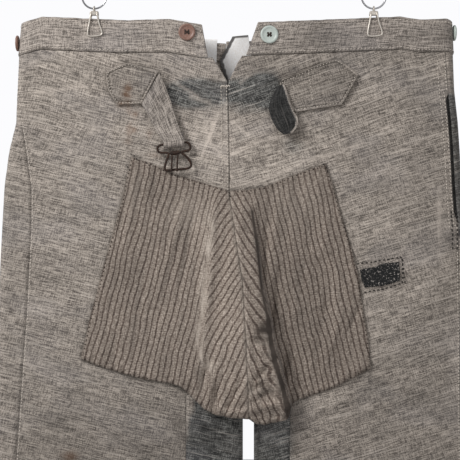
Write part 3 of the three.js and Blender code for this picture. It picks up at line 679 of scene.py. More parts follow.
# The back panels run from the waistband to the hem. Each is one width of cloth from the side
# seam, a little way on to the back, to the seat seam, and below the crotch to the inseam, which
# lies well on to the back. Where its folds rise it is rubbed pale.
PHOTO_END = -489
PHOTO_STEP = 3.0
LEG_STEP = 9.0
BACK_COLUMNS = 112


def back_inner(side, z):
    seam = seat_seam(z) - INWARD[side] * notch[side](z)
    return mix(seam, inseam[side](z), clamp((CROTCH - z) / 16))


def panel_levels():
    """Levels of a panel's rows, closer as far down as the photo goes."""
    seat = running(PANEL_TOP, CROTCH, 2.3) + running(CROTCH - 2, CROTCH - 18, 2.0)
    leg = running(CROTCH - 21, PHOTO_END, PHOTO_STEP)
    return seat + leg + running(PHOTO_END - LEG_STEP, HEM, LEG_STEP)


def back_reach(side, z):
    """Where the back panel ends towards the middle, as a distance round the side."""
    return round_to(side, z, back_inner(side, z))


def panel(name, side, columns, reach):
    """Panel between two distances round the side, which the reach function gives at each level."""
    def place(i, z):
        start, stop = reach(z)
        return cloth_point(side, z, mix(start, stop, i), bag=0.8)

    def flat(i, z):
        start, stop = reach(z)
        return -mix(start, stop, i) * MM * INWARD[side], z * MM

    return woven(name, shares(columns), panel_levels(), place, flat)


RUBBED = {
    "left": [
        [(-18, -135), (-23, -147), (-32, -171)], [(-3, -113), (-12, -127), (-28, -137)],
        [(-36, -112), (-58, -98)], [(-24, -118), (-44, -112)],
        [(-9, -175), (-22, -160), (-30, -140)], [(-200, -108), (-150, -101)],
    ],
    "right": [
        [(-3, -203), (28, -194), (66, -180)], [(-2, -136), (14, -150)], [(6, -98), (16, -90)],
        [(62, -178), (96, -170), (130, -158)], [(-2, -170), (20, -158), (44, -152)],
    ],
}
for side in INWARD:
    def reach(z, side=side):
        open_slit = SLIT["width"] * ease((SLIT["top"] - z) / 8) * ease((z - SLIT["bottom"]) / 14)
        start = -seam_round[side](z) - SEAM_GAP / 2 - (open_slit if side == "right" else 0)
        return start, back_reach(side, z)

    # Painted shadow under the band's lower edge, a dark line on the seat seam, painted shade that puckers
    # the cloth beside the seam, and a pale line along it.
    def seam_marks(marks, x, y, z):
        below_band = band_top(x) - BAND_HEIGHT - z
        marks["grime"] += 0.25 * exp(-(below_band / 1.4) ** 2)
        marks["grime"] += 0.15 * exp(-((x - seat_seam(z)) / 1.0) ** 2) * (z > CROTCH)
        beside = abs(x - seat_seam(z)) - 3
        marks["shade"] *= 1 + 0.3 * noise.noise((x / 7, z / 3.2, 1)) * exp(-(beside / 5) ** 2)
        marks["pale"] += 0.25 * exp(-((x - seat_seam(z) + 4.5) / 1.6) ** 2) * (z > CROTCH)

    back = panel(f"chambray_back_{side}", side, BACK_COLUMNS, reach)
    coat(back, seam_marks)
    for line in RUBBED[side]:
        mark_along(back, line, "pale", 0.75, 1.5)
    if side == "right":
        flip(back)
    back.data.materials.append(panel_cloth[side])
    area = cloth_area(back)
    thicken(back, CLOTH)
    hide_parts(f"back_panel_{side}")
    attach(back, "trousers")

# The front panels close the form behind. They wrap round the sides on to the back as far as the side
# seams, and below the crotch round the inner leg as well. They are slate there, with its creases painted
# in as lines of shade, and the right one shows the open hip pocket's edge, where the cloth is slate too.
FRONT_COLUMNS = 64
EDGE_SHADOW = [Spot(226, -150, 10, 80, 0.45), Spot(230, -300, 8, 160, 0.25)]
INNER_CREASE_SHADES = [
    [(-24, -466), (-8, -451), (6, -440)], [(-27, -443), (-12, -434)],
    [(22, -440), (27, -462), (24, -476)], [(-36, -430), (-30, -448)],
]
for side in INWARD:
    def reach(z, side=side):
        start = -seam_round[side](z) + SEAM_GAP / 2
        outer = outer_edge[side](z)
        if is_leg(z):
            inner = inner_edge[side](z)
            flat_part = abs(inner - outer) - 2 * ROLL
            behind = abs(inner - INWARD[side] * ROLL - back_inner(side, z))
            stop = ROLL_ARC + flat_part + 2 * ROLL_ARC + behind - SEAM_GAP
        else:
            stop = ROLL_ARC + abs(front_seam(z) - outer) - ROLL - SEAM_GAP / 2
        return start, stop

    def front_marks(marks, x, y, z, side=side):
        marks["pale"] = marks["rust"] = marks["unfaded"] = marks["grime"] = 0.0
        if side == "right" and -250 < z < -104:
            marks["unfaded"] = clamp((x - 205) / 10) * ease((-104 - z) / 8) * 0.9
        if y < RING_DEPTH + 6:
            inner_leg = 0.95 * clamp((CROTCH + 2 - z) / 4) * clamp((120 - abs(x)) / 20)
            inner_leg *= 1 if side == "right" else ease((x - mix(-38, -54, clamp((-396 - z) / 70))) / 6)
            marks["unfaded"] = max(marks["unfaded"], inner_leg)
            marks["grime"] = painted(x, z, EDGE_SHADOW)

    front = panel(f"chambray_front_{side}", side, FRONT_COLUMNS, reach)
    coat(front, front_marks)
    # Painted shade along the inner-leg creases.
    for line in INNER_CREASE_SHADES:
        mark_along(front, line, "shade", -0.55, 2.2)
    if side == "left":
        flip(front)
    front.data.materials.append(panel_cloth[side])
    area = cloth_area(front)
    thicken(front, CLOTH)
    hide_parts(f"front_panel_{side}")
    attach(front, "trousers")

# The waistband is doubled cloth, cut across the body and stitched along both edges. It opens in
# a deep notch over the seat seam, where its two ends lean away from each other.
BAND_PROUD = 1.0
BandEnd = namedtuple("BandEnd", "bottom top")
BAND_ENDS = {"left": BandEnd(-26, -32), "right": BandEnd(12, 24)}


def band_point(side, along, up, lift=0.0):
    """Point of the band's outer face, along it from 0 at the notch and up it from 0 to 1."""
    end = mix(BAND_ENDS[side].bottom, BAND_ENDS[side].top, up)
    level = mix(BAND_LOW, BAND_HIGH, up)
    start = round_to(side, level, end)
    middle = ROLL_ARC + abs(-8 - INWARD[side] * SEAM_GAP - outer_edge[side](level)) - ROLL
    distance = mix(start, middle, along)
    point = cloth_point(side, level, distance, BAND_PROUD + lift)
    puff = 0.9 * sin(pi * clamp(up)) ** 0.5 + 0.35 * noise.noise((distance / 14, up * 1.2, 4))
    edge = 0.35 * noise.noise((distance / 9, 7, up * 3))
    point.y += (-1 if distance < 0 else 1) * puff * (0.8 if abs(distance) > ROLL_ARC else 0)
    point.z = band_bottom(side, distance) + up * BAND_HEIGHT + edge
    return point


# Darker lines along the band's lower and upper edges.
def band_marks(marks, x, y, z):
    low_edge = band_top(x) - BAND_HEIGHT if y < RING_DEPTH else -1e3
    marks["grime"] += (0.45 * exp(-((z - low_edge) / 1.0) ** 2)
                       + 0.3 * exp(-((z - low_edge - BAND_HEIGHT) / 0.9) ** 2))


def soft_edged(obj, width=0.5):
    made = obj.modifiers.new("turned edge", "BEVEL")
    made.width = width * MM
    made.segments = 2
    made.limit_method = "ANGLE"
    made.angle_limit = radians(50)


for side in INWARD:
    half = abs(outer_edge[side](-50) - outer_edge[OTHER[side]](-50))
    band = woven(f"band_{side}", shares(260), shares(14)[::-1],
                 lambda a, u, side=side: band_point(side, a, u),
                 lambda a, u, half=half: (a * half * MM, u * BAND_HEIGHT * MM))
    if side == "left":
        flip(band)
    coat(band, band_marks, unfaded=0.0, rust=0.0)
    band.data.materials.append(level_cloth)
    cut = cloth_area(band)
    thicken(band, 2.4)
    soft_edged(band, 0.8)
    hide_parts(f"waistband_{side}")
    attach(band, "trousers")


# The striped patches are woven with dark brown lines six millimetres apart and finer ones
# between. They are let in over the worn seat, cut so that the stripes follow their outer edges
# and meet in chevrons on the seam. Both hang a little below the crotch as part of the bag.
def laid_point(x, z, lift, bag=1.0):
    """Point over the back at a place, carried on below the crotch as part of the bag."""
    side = "left" if x < seat_seam(z) else "right"
    if is_leg(z):
        y = -ROLL - swell(x, z, side, "back", 0) - bag * bag_rise(x, z)
    else:
        y = skin(side, z, round_to(side, z, x), bag)[1]
    shift = waist_shift(side, z, round_to(side, z, x))
    over = bag * 7.5 * exp(-((x - bag_fold(z) + 3) / 8) ** 2) * clamp(bag_height(z) / 14)
    return Vector((x + over, y - lift + RING_DEPTH, z + shift))


def outline(points):
    """Smooth reading of a polyline by its share of the length."""
    lengths = [0.0]
    for a, b in zip(points, points[1:]):
        lengths.append(lengths[-1] + (Vector(b) - Vector(a)).length)

    def at(share):
        reach = share * lengths[-1]
        for i in range(len(points) - 1):
            if reach <= lengths[i + 1] + 1e-9:
                t = (reach - lengths[i]) / (lengths[i + 1] - lengths[i])
                return Vector(points[i]).lerp(Vector(points[i + 1]), t)
        return Vector(points[-1])

    return at


def four_sided(top, bottom, left, right):
    """Place between four edges, each a polyline: top and bottom from left to right, left and
    right from top to bottom."""
    edges = [outline(edge) for edge in (top, bottom, left, right)]

    def at(u, v):
        above, below, before, after = edges[0](u), edges[1](u), edges[2](v), edges[3](v)
        corners = (edges[0](0).lerp(edges[0](1), u)).lerp(edges[1](0).lerp(edges[1](1), u), v)
        return above.lerp(below, v) + before.lerp(after, u) - corners

    return at


Patch = namedtuple("Patch", "top bottom left right")
PATCHES = {
    "left": Patch(
        top=[(-102.5, -172), (-84, -178), (-58, -190), (-30, -198), (-4.5, -206)],
        bottom=[(-153.3, -374), (-127, -384), (-90, -394), (-60, -399), (-52, -402), (-43, -411),
                (-29, -424), (-16, -430), (-4, -432), (14.9, -433)],
        left=[(-102.5, -172), (-106.4, -188), (-112, -215), (-131, -284), (-144.5, -335), (-153.3, -374)],
        right=[(-4.5, -206), (-4.2, -212), (2.2, -255), (8.2, -295), (12.2, -355), (14.9, -433)]),
    "right": Patch(
        top=[(-4.4, -206), (14, -205), (31, -202), (60.5, -190), (79.6, -183), (91.3, -179.5)],
        bottom=[(14.8, -433), (22, -438), (30, -439), (46, -434), (51, -430), (57, -419), (65, -414.5),
                (99, -403), (131, -386), (136, -383)],
        left=[(-4.4, -206), (-4.3, -212), (2.0, -255), (8.0, -295), (12.0, -355), (14.8, -433)],
        right=[(91.3, -179.5), (99, -200), (106, -226), (118, -266), (123.6, -287), (128, -317),
               (134, -354), (136, -383)]),
}
STRIPE_PITCH = 5.8
CHEVRON = {"top": -206, "bend": -335, "steep": 0.545, "flat": 0.4}
LineRow = namedtuple("LineRow", "z x")
BAG_RIDGE = [
    LineRow(-222, -25), LineRow(-259, -27.5), LineRow(-315, -33), LineRow(-353, -37),
    LineRow(-366, -36), LineRow(-378, -30), LineRow(-400, -25), LineRow(-433, -20),
]
ridge_line = reading(BAG_RIDGE, "x")
FOLD_EDGE = [
    LineRow(-226, 18), LineRow(-262, 23), LineRow(-305, 27.5), LineRow(-335, 34), LineRow(-360, 37),
    LineRow(-377, 41), LineRow(-400, 48), LineRow(-430, 55),
]
fold_edge = reading(FOLD_EDGE, "x")


def crumpled(x, z):
    """How much the loose bottom of the bag is crumpled at a place, from 0 to 1."""
    amount = mix(0.3, 1, ease((x - seat_seam(z) + 2) / 8)) * ease((-336 - z) / 40)
    return amount * ease((x - ridge_line(z) - 1) / 10) * ease((fold_edge(z) - x) / 5)


def stripe_phase(side, x, z):
    """Distance across the stripes. On the outer part they follow the patch's edge. Inside the
    bag's ridge, or its fold, they fan out to meet in chevrons on the seat seam."""
    bend = CHEVRON["bend"]
    fall = CHEVRON["steep"] * (max(z, bend) - CHEVRON["top"]) + CHEVRON["flat"] * (min(z, bend) - bend)
    waver = 2.6 * noise.noise((x / 30, z / 38, 4)) + 0.7 * noise.noise((x / 9, z / 14, 7))
    waver += 4.0 * crumpled(x, z) * noise.noise((x / 13, z / 12, 3))
    if side == "left":
        outer = x - 0.25 * z + waver
        inner = 0.84 * (x + 22) - fall + 29.5 + waver
        return mix(outer, inner, ease((x - ridge_line(z) + 1) / 8))
    outer = x + 0.23 * z + waver
    inner = 0.9 * (x - 22) + 0.86 * fall - 25.4 + waver
    return mix(outer, inner, ease((fold_edge(z) + 1 - x) / 4))


def from_middle(tree, phase):
    """How far a phase is from the middle of its repeat."""
    return math(tree, "ABSOLUTE", math(tree, "SUBTRACT", math(tree, "FRACT", phase), 0.5))


def striped(name, pitch):
    """Striped ticking, worn pale, with painted highlights and shade: dark brown lines, with finer ones
    between.
    """
    made, tree, shader = material(name, {"Roughness": 0.92, "IOR": 1.47, "Sheen Weight": 0.1})
    across = node(tree, "ShaderNodeUVMap", uv_map="stripes").outputs[0]
    parted = node(tree, "ShaderNodeSeparateXYZ", links={"Vector": across})
    wander = lumps(tree, stretched(tree, 120, 120, 0, 0.4), 2.0)
    fray = lumps(tree, stretched(tree, 900, 160, 0, 0.9), 2.0, 0.7)
    weft = lumps(tree, stretched(tree, 260, 900, 0, 0.2), 2.0, 0.6)
    warp = lumps(tree, stretched(tree, 900, 240, 0, 0.5), 2.0, 0.6)
    fleck = lumps(tree, stretched(tree, 640, 680, 0, 0.8), 2.0, 0.6)
    worn = lumps(tree, stretched(tree, 18, 26, 0, 1.4), 4.0, 0.6)
    phase = added(tree, scaled(tree, parted.outputs[0], 1 / (pitch * MM)), varied(tree, wander, 0.22))
    line = steps(tree, added(tree, from_middle(tree, phase), varied(tree, fray, 0.16)), 0.19, 0.10)
    fine = steps(tree, from_middle(tree, scaled(tree, phase, 4)), 0.25, 0.12)
    yarns = added(tree, scaled(tree, weft, 0.4), scaled(tree, warp, 0.3), scaled(tree, fleck, 0.3))
    low = steps(tree, yarns, 0.38, 0.54)
    high = steps(tree, yarns, 0.48, 0.64)
    ground_tone = blend_colours(tree, high, blend_colours(tree, low, "665b52", "8c8075"), "baaea2")
    dark_tone = blend_colours(tree, high, blend_colours(tree, low, "332924", "51443c"), "7c6e64")
    strength = scaled(tree, line, steps(tree, math(tree, "ADD", worn, 0.22), 0.38, 0.6))
    tone = blend_colours(tree, scaled(tree, fine, 0.35), ground_tone, "6a5f56")
    tone = blend_colours(tree, scaled(tree, strength, 0.95), tone, dark_tone)
    # Worn places and painted highlights on the bag's ridge and crumples lighten the ticking.
    tone = blend_colours(tree, scaled(tree, attribute(tree, "pale"), 0.5, True), tone, "cabfb2")
    # Painted shadow in the bag's fold, its crumples and along its edges darkens the ticking.
    tone = blend_colours(tree, scaled(tree, attribute(tree, "grime"), 0.8, True), tone, "3a322c")
    shaded(tree, shader, tone)
    raised(tree, shader, added(tree, scaled(tree, weft, 0.5), scaled(tree, warp, 0.5)))
    return made


ticking = striped("Worn striped ticking, woven and cut to the bias", STRIPE_PITCH)
# Lighter spots on the patches: a few broad places near their tops, and painted highlights on the crumples
# at the bottom of the bag.
PATCH_PALE = [
    Spot(-46, -228, 20, 20, 0.25), Spot(60, -215, 30, 24, 0.15), Spot(-100, -205, 10, 24, 0.15),
    Spot(-25, -380, 5, 4, 0.7), Spot(33, -350, 6, 2, 0.8), Spot(28, -357, 8, 2.4, 0.6),
    Spot(36, -366, 3, 7, 0.6), Spot(44, -396, 3, 14, 0.5), Spot(-33, -392, 2, 10, 0.5),
    Spot(22, -404, 10, 3, 0.4),
]
# Darker spots on the patches: painted shade in the crumples at the bottom of the bag and beside its fold,
# and broad darker places on the right patch.
PATCH_DIRT_AND_SHADOW = [
    Spot(-36, -388, 4, 7, 0.5), Spot(-46, -401, 5, 9, 0.5), Spot(31, -344, 7, 3, 1.0),
    Spot(40, -372, 2, 8, 0.6), Spot(20, -397, 9, 2.5, 0.5), Spot(32, -408, 3, 9, 0.5),
    Spot(-20, -400, 3, 14, 0.3), Spot(5, -418, 12, 3, 0.4), Spot(24, -348, 5, 8, 0.8),
    Spot(28, -339, 4, 4, 0.8), Spot(110, -370, 30, 20, 0.12), Spot(80, -380, 40, 26, 0.2),
    Spot(52, -420, 8, 8, 0.6), Spot(60, -300, 16, 60, 0.14), Spot(10, -243, 6, 10, 0.3),
]
# Spots of the patches' shade: the bag painted lighter where it stands out towards the light, and broad
# places lighter or darker.
PATCH_SHADES = [
    Spot(-14, -290, 24, 66, 0.34), Spot(-4, -370, 24, 50, 0.26), Spot(-75, -205, 40, 18, -0.08),
    Spot(40, -235, 26, 30, -0.08), Spot(70, -300, 24, 40, -0.05), Spot(96, -195, 20, 10, 0.08),
    Spot(8, -410, 44, 20, 0.1), Spot(-60, -320, 30, 60, 0.05), Spot(-30, -215, 40, 14, 0.08),
]


def relief(obj, line, height, width, offset=0.0, rough=0.0):
    """Raise the cloth along a line, or beside it at an offset, and pucker it."""
    spots = places(obj)
    near = np.exp(-((gap_to(spots, line) - offset) / width) ** 2)
    for vertex, amount, (x, z) in zip(obj.data.vertices, near, spots):
        if amount > 0.02:
            vertex.co.y -= amount * (height + rough * noise.noise((x / 3.4, z / 3.4, 1))) * MM


def lay(name, spread, steps_across, steps_down, lift, thickness, bag=1.0):
    """Piece of cloth that follows the panels, spread over a place function of two shares."""
    def place(u, v):
        x, z = spread(u, v)
        edge = min(u, 1 - u, v, 1 - v)
        frayed = 0.25 * noise.noise((x / 3, z / 3, 2)) if edge < 0.004 else 0
        return laid_point(x + frayed, z + frayed, lift + thickness, bag)

    def flat(u, v):
        x, z = spread(u, v)
        return x * MM, z * MM

    return woven(name, shares(steps_across), shares(steps_down), place, flat)


for side in INWARD:
    edges = PATCHES[side]
    spread = four_sided(edges.top, edges.bottom, edges.left, edges.right)
    patch = lay(f"patch_{side}", spread, 104, 150, 0.5, 1.0)
    if side == "left":
        seam = edges.right
        border = edges.top[::-1] + edges.left + edges.bottom
    else:
        seam = edges.left
        border = edges.top + edges.right + edges.bottom[::-1]
    relief(patch, border, 0.5, 1.3, 2.6, 0.5)
    relief(patch, border, -0.4, 0.7, 1.2, 0.4)
    relief(patch, seam, 0.7, 2.0, 3.0, 1.1)
    relief(patch, seam, -0.5, 0.9, 0.0, 0.5)
    relief(patch, edges.bottom, 0.9, 4.5, 4.5, 2.2)
    spots = places(patch)
    # Painted highlight down the bag's ridge, and painted light and shade over the ripples of the patches
    # and the crumples of the bag.
    ridge_highlight = [(0.42 + 0.9 * noise.noise((x / 3, z / 18, 2))) * exp(-((x - ridge_line(z) - 2.5) / 5) ** 2)
            * ease((-214 - z) / 30) * ease((z + 392) / 20) for x, z in spots]
    mottle = [0.28 * noise.noise((x / 7 - z / 60, z / 45, 5))
              + 0.6 * crumpled(x, z) * noise.noise((x / 7 + z / 14, z / 10, 6)) for x, z in spots]
    paint(patch, {
        "pale": [painted(x, z, PATCH_PALE) + highlight for (x, z), highlight in zip(spots, ridge_highlight)],
        "grime": [painted(x, z, PATCH_DIRT_AND_SHADOW) for x, z in spots],
        "shade": [1 + painted(x, z, PATCH_SHADES) + tint for (x, z), tint in zip(spots, mottle)],
    })
    # Painted shadow in the bag's deep fold and along its bottom, dark lines along the patch's border and
    # seam, a pale line beside the seam, and painted shadow on the back panel round the patch's edge.
    crease = [(row.x, row.z) for row in FOLD_EDGE]
    mark_along(patch, crease, "grime", 0.4, 4)
    mark_along(patch, crease, "grime", 1.1, 1.3)
    mark_along(patch, crease[3:], "grime", 0.9, 2.2)
    mark_along(patch, edges.bottom, "grime", 0.2, 3)
    mark_along(patch, border, "grime", 0.4, 0.9)
    mark_along(patch, seam, "grime", 0.4, 0.8)
    mark_along(patch, seam, "pale", 0.35, 2.6)
    mark_along(bpy.data.objects[f"chambray_back_{side}"], border, "grime", 0.55, 1.6)
    stripes = patch.data.uv_layers.new(name="stripes")
    lengths = patch.data.uv_layers["cloth"].data
    for loop, source in zip(stripes.data, lengths):
        loop.uv = (stripe_phase(side, source.uv.x / MM, source.uv.y / MM) * MM, source.uv.y)
    patch.data.materials.append(ticking)
    cut = cloth_area(patch)
    thicken(patch, 1.0)
    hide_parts(f"seat_patch_{side}")
    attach(patch, "trousers")

# The small black mend covers a tear on the right. It is a thinner black cloth with pale lint, and
# is sewn down with long stitches of black thread.
MEND = Patch(
    top=[(126, -285), (132, -283.5), (142, -282), (149, -278.6), (165, -277)],
    bottom=[(131, -302.5), (148, -301), (159, -298), (166.5, -295.5)],
    left=[(126, -285), (127.5, -294.5), (131, -302.5)], right=[(165, -277), (166, -286), (166.5, -295.5)])
black_cloth, black_tree, black_shader = material("Black cotton, torn and sewn down",
                                                 {"Roughness": 0.95, "IOR": 1.47})
black_lint = lumps(black_tree, stretched(black_tree, 520, 420, 0, 0.2), 3.0, 0.75)
black_weft = lumps(black_tree, stretched(black_tree, 300, 1500, 0, 0.6), 2.0, 0.6)
black_tone = blend_colours(black_tree, steps(black_tree, black_weft, 0.35, 0.65), "0d0e0f", "232323")
black_tone = blend_colours(black_tree, scaled(black_tree, steps(black_tree, black_lint, 0.57, 0.63), 0.8),
                           black_tone, "b3aca5")
black_tree.links.new(black_tone, black_shader.inputs["Base Color"])
raised(black_tree, black_shader, black_weft)
mend = lay("mend", four_sided(*MEND), 40, 22, 0.4, 0.8)
mend.data.materials.append(black_cloth)
cut = cloth_area(mend)
thicken(mend, 0.8)
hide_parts("mend_patch")
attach(mend, "trousers")

# Each cinch strap has a pointed base of doubled chambray, top-stitched round, and a free end
# that folds over its lower corner and hangs towards the middle.
CINCH = {
    "left": Patch(top=[(-128.4, -88), (-117, -82), (-106.4, -78), (-75.6, -87.6)],
                  bottom=[(-126, -105), (-117, -120), (-92, -119)],
                  left=[(-128.4, -88), (-126, -105)], right=[(-75.6, -87.6), (-92, -119)]),
    "right": Patch(top=[(48, -94.5), (59.6, -90), (86, -79), (102, -74.6), (111, -80), (124, -91)],
                   bottom=[(50, -116), (61.4, -126.6), (107, -120.4), (111, -115)],
                   left=[(48, -94.5), (45.7, -98), (50, -116)], right=[(124, -91), (111, -115)]),
}


def inset(points, distance):
    """Polyline moved to its right by a distance, for a row of stitching inside an edge."""
    made = []
    for i, point in enumerate(points):
        before, after = Vector(points[max(0, i - 1)]), Vector(points[min(len(points) - 1, i + 1)])
        heading = (after - before).normalized()
        made.append((point[0] + heading.y * distance, point[1] - heading.x * distance))
    return made


for side in INWARD:
    base = lay(f"cinch_{side}", four_sided(*CINCH[side]), 84, 60, 0.4, 2.0, 0.8)
    top, bottom, left, right = CINCH[side]
    rim = top + right + bottom[::-1] + left[::-1]
    relief(base, rim, 0.7, 0.9, 0.9, 0.7)
    relief(base, rim, -0.7, 0.7, 2.4, 0.3)
    coat(base, unfaded=0.0, pale=0.0, shade=0.81)
    # The base's rim is pale, worn and lit as a painted highlight; painted shade lies in the groove inside
    # it and on the back panel under its edge.
    mark_along(base, rim, "pale", 0.9, 0.7)
    mark_along(base, inset(rim, 2.3), "grime", 0.35, 0.8)
    mark_along(bpy.data.objects[f"chambray_back_{side}"], rim, "grime", 0.75, 1.3)
    base.data.materials.append(panel_cloth[side])
    cut = cloth_area(base)
    thicken(base, 1.9)
    soft_edged(base)
    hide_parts(f"cinch_base_{side}")
    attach(base, "trousers")

# The left strap hangs down to the buckle, round its bar and a little way up behind. The right
# one is folded back on itself, so its unfaded underside shows.
STRAP = 1.5
bar_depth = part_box("buckle_frame")[0].y / MM + 1.2
BAR_LEFT = Vector((-72.5, bar_depth, -160.4))
BAR_RIGHT = Vector((-46.8, bar_depth, -157.9))
bar_axis = (BAR_RIGHT - BAR_LEFT).normalized()
bar_down = Vector((bar_axis.z, 0, -bar_axis.x))


def over_cloth(x, z, proud):
    point = laid_point(x, z, 0, 0.8)
    return Vector((x, point.y - proud, z))


def on_curve(a, b, c, d, t):
    """Point of a smooth curve through four points, at a share from the second to the third."""
    return 0.5 * (2 * b + (c - a) * t + (2 * a - 5 * b + 4 * c - d) * t * t
                  + (3 * b - a - 3 * c + d) * t ** 3)


def smooth_rows(rows, between):
    """More rows between those of a ribbon, on a smooth curve through them."""
    made = []
    for i in range(len(rows) - 1):
        a, b = rows[max(0, i - 1)], rows[i]
        c, d = rows[i + 1], rows[min(len(rows) - 1, i + 2)]
        for step in range(between):
            made.append([on_curve(p, q, r, s, step / between) for p, q, r, s in zip(a, b, c, d)])
    made.append(list(rows[-1]))
    return made


def ribbon(name, rows, across, between, wave=0.0):
    """Strap through rows of a left and a right point, slightly cupped and wavy."""
    rows = smooth_rows(rows, between)

    def place(u, v):
        left, right = rows[round(v * (len(rows) - 1))]
        point = left.lerp(right, u)
        point.y -= wave * (0.5 - abs(u - 0.5)) + wave * 0.8 * noise.noise((u * 2.2, v * 3.1, 6))
        return point

    width = (rows[len(rows) // 2][0] - rows[len(rows) // 2][1]).length
    reach = [0.0]
    for a, b in zip(rows, rows[1:]):
        reach.append(reach[-1] + ((a[0] + a[1]) / 2 - (b[0] + b[1]) / 2).length)
    return woven(name, shares(across), shares(len(rows) - 1), place,
                 lambda u, v: (reach[round(v * (len(rows) - 1))] * MM, u * width * MM))


def around_bar(out, fall):
    return [BAR_LEFT + bar_axis * d + Vector((0, -out, 0)) + bar_down * fall for d in (2.6, 23)]


LOOP = 1.2 + 0.6 + STRAP / 2
strap_rows = [
    [over_cloth(-92, -119.5, 3.6), over_cloth(-74.6, -88.3, 3.6)],
    [over_cloth(-84.5, -133, 4.6), over_cloth(-64.5, -112, 4.6)],
    [over_cloth(-77.5, -147, 5.8), over_cloth(-56.5, -138, 5.8)],
    around_bar(LOOP, -3),
    *[around_bar(LOOP * cos(radians(a)), LOOP * sin(radians(a))) for a in (0, 45, 90, 135, 180)],
    around_bar(-LOOP, -11),
]
left_strap = ribbon("strap_left", strap_rows, 18, 8, 0.5)
folded_rows = [
    [over_cloth(43.5, -101.5, 3.4), over_cloth(50, -99.5, 3.6)],
    [over_cloth(38, -112, 4.0), over_cloth(53, -107, 4.2)],
    [over_cloth(35, -121, 4.2), over_cloth(55.4, -116, 4.4)],
    [over_cloth(35.5, -129, 4.8), over_cloth(59.6, -126.6, 5.2)],
    [over_cloth(40, -140, 5.2), over_cloth(63.6, -135, 5.6)],
    [over_cloth(45.5, -147, 5.2), over_cloth(62.4, -143, 5.6)],
    [over_cloth(50, -150, 5.2), over_cloth(58, -148.4, 5.2)],
]
right_strap = ribbon("strap_right", folded_rows, 18, 6, 0.7)
FOLDED_RIM = outline([(50, -99.5), (53, -107), (55.4, -116), (59.6, -126.6), (63.6, -135),
                      (62.4, -143), (58, -148.4)])


def folded_marks(marks, x, y, z):
    """The underside is unfaded but for the rim where the face cloth is turned over its edge."""
    near = min((Vector((x, z)) - FOLDED_RIM(k / 40)).length for k in range(41))
    marks["unfaded"] = 1.6 * ease((near - 1.6) / 1.2)
    marks["shade"] = mix(1.0, 0.2, ease((near - 1.6) / 1.2))


for strap, side, wide, long in ((left_strap, "left", 0.022, 0.098), (right_strap, "right", 0.028, 0.052)):
    coat(strap, folded_marks if side == "right" else None, unfaded=0.0, pale=0.0, shade=0.78)
    strap.data.materials.append(level_cloth)
    cut = cloth_area(strap)
    thicken(strap, STRAP, 0)
    soft_edged(strap, 0.4)
    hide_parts(f"cinch_strap_{side}")
    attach(strap, "trousers")

# The wire buckle is bent from one length of steel, long since rusted brown, with two prongs
# rolled on to its middle bar. Both turn on their bars, so each rides on its own body.
rust, rust_tree, rust_shader = material("Bent steel wire, rusted", {"Metallic": 0.35, "Roughness": 0.72})
flakes = node(rust_tree, "ShaderNodeTexCoord").outputs["Object"]
scale_patches = lumps(rust_tree, flakes, 4.0, 0.65, 600)
fine_rust = lumps(rust_tree, flakes, 3.0, 0.7, 2600)
rust_tone = blend_colours(rust_tree, steps(rust_tree, scale_patches, 0.42, 0.6), "1b1512", "3d2a20")
rust_tone = blend_colours(rust_tree, steps(rust_tree, fine_rust, 0.56, 0.66), rust_tone, "76523a")
rust_tree.links.new(rust_tone, rust_shader.inputs["Base Color"])
raised(rust_tree, rust_shader, fine_rust, 0.6, 0.0004)


def wire(name, points, radius, closed=False, sides=12, between=8):
    """Round wire on a smooth curve through points, with rounded ends where it is open."""
    points = [Vector(p) for p in points]
    count = len(points)
    path = []
    for i in range(count if closed else count - 1):
        four = [k % count if closed else min(max(k, 0), count - 1) for k in range(i - 1, i + 3)]
        path += [on_curve(*(points[k] for k in four), step / between) for step in range(between)]
    path.append(path[0] if closed else points[-1])
    sections = []
    normal = Vector((0, -1, 0.01))
    for i, point in enumerate(path):
        before = path[i - 1] if i else path[-2 if closed else 0]
        after = path[i + 1] if i < len(path) - 1 else path[1 if closed else -1]
        heading = (after - before).normalized()
        normal = (normal - heading * heading.dot(normal)).normalized()
        size = radius if closed or 0 < i < len(path) - 1 else radius * 0.55
        sections.append((point, normal * size, heading.cross(normal) * size))
    mesh = bmesh.new()
    bmesh.ops.create_grid(mesh, x_segments=sides, y_segments=len(path) - 1, size=0.5)
    for vertex in mesh.verts:
        point, out, across = sections[round((vertex.co.y + 0.5) * (len(path) - 1))]
        turn = 2 * pi * (vertex.co.x + 0.5)
        vertex.co = (point + out * cos(turn) + across * sin(turn)) * MM
    bmesh.ops.remove_doubles(mesh, verts=mesh.verts, dist=1e-6)
    bmesh.ops.holes_fill(mesh, edges=mesh.edges, sides=sides)
    bmesh.ops.recalc_face_normals(mesh, faces=mesh.faces)
    for face in mesh.faces:
        face.smooth = len(face.verts) == 4
    return formed(name, mesh)


def joined(name, pieces):
    """One piece from several, with their materials."""
    mesh = bmesh.new()
    materials = []
    for obj in pieces:
        start = len(mesh.faces)
        mesh.from_mesh(obj.data)
        mesh.faces.ensure_lookup_table()
        for slot_index, used in enumerate(obj.data.materials):
            if used not in materials:
                materials.append(used)
            for face in mesh.faces[start:]:
                if face.material_index == slot_index and not face.tag:
                    face.material_index = materials.index(used)
                    face.tag = True
        for face in mesh.faces:
            face.tag = True
    for obj in pieces:
        bpy.data.objects.remove(obj)
    made = formed(name, mesh)
    for used in materials:
        made.data.materials.append(used)
    return made


def at_bar(x, z, out=0.0):
    return Vector((x, bar_depth - out, z))


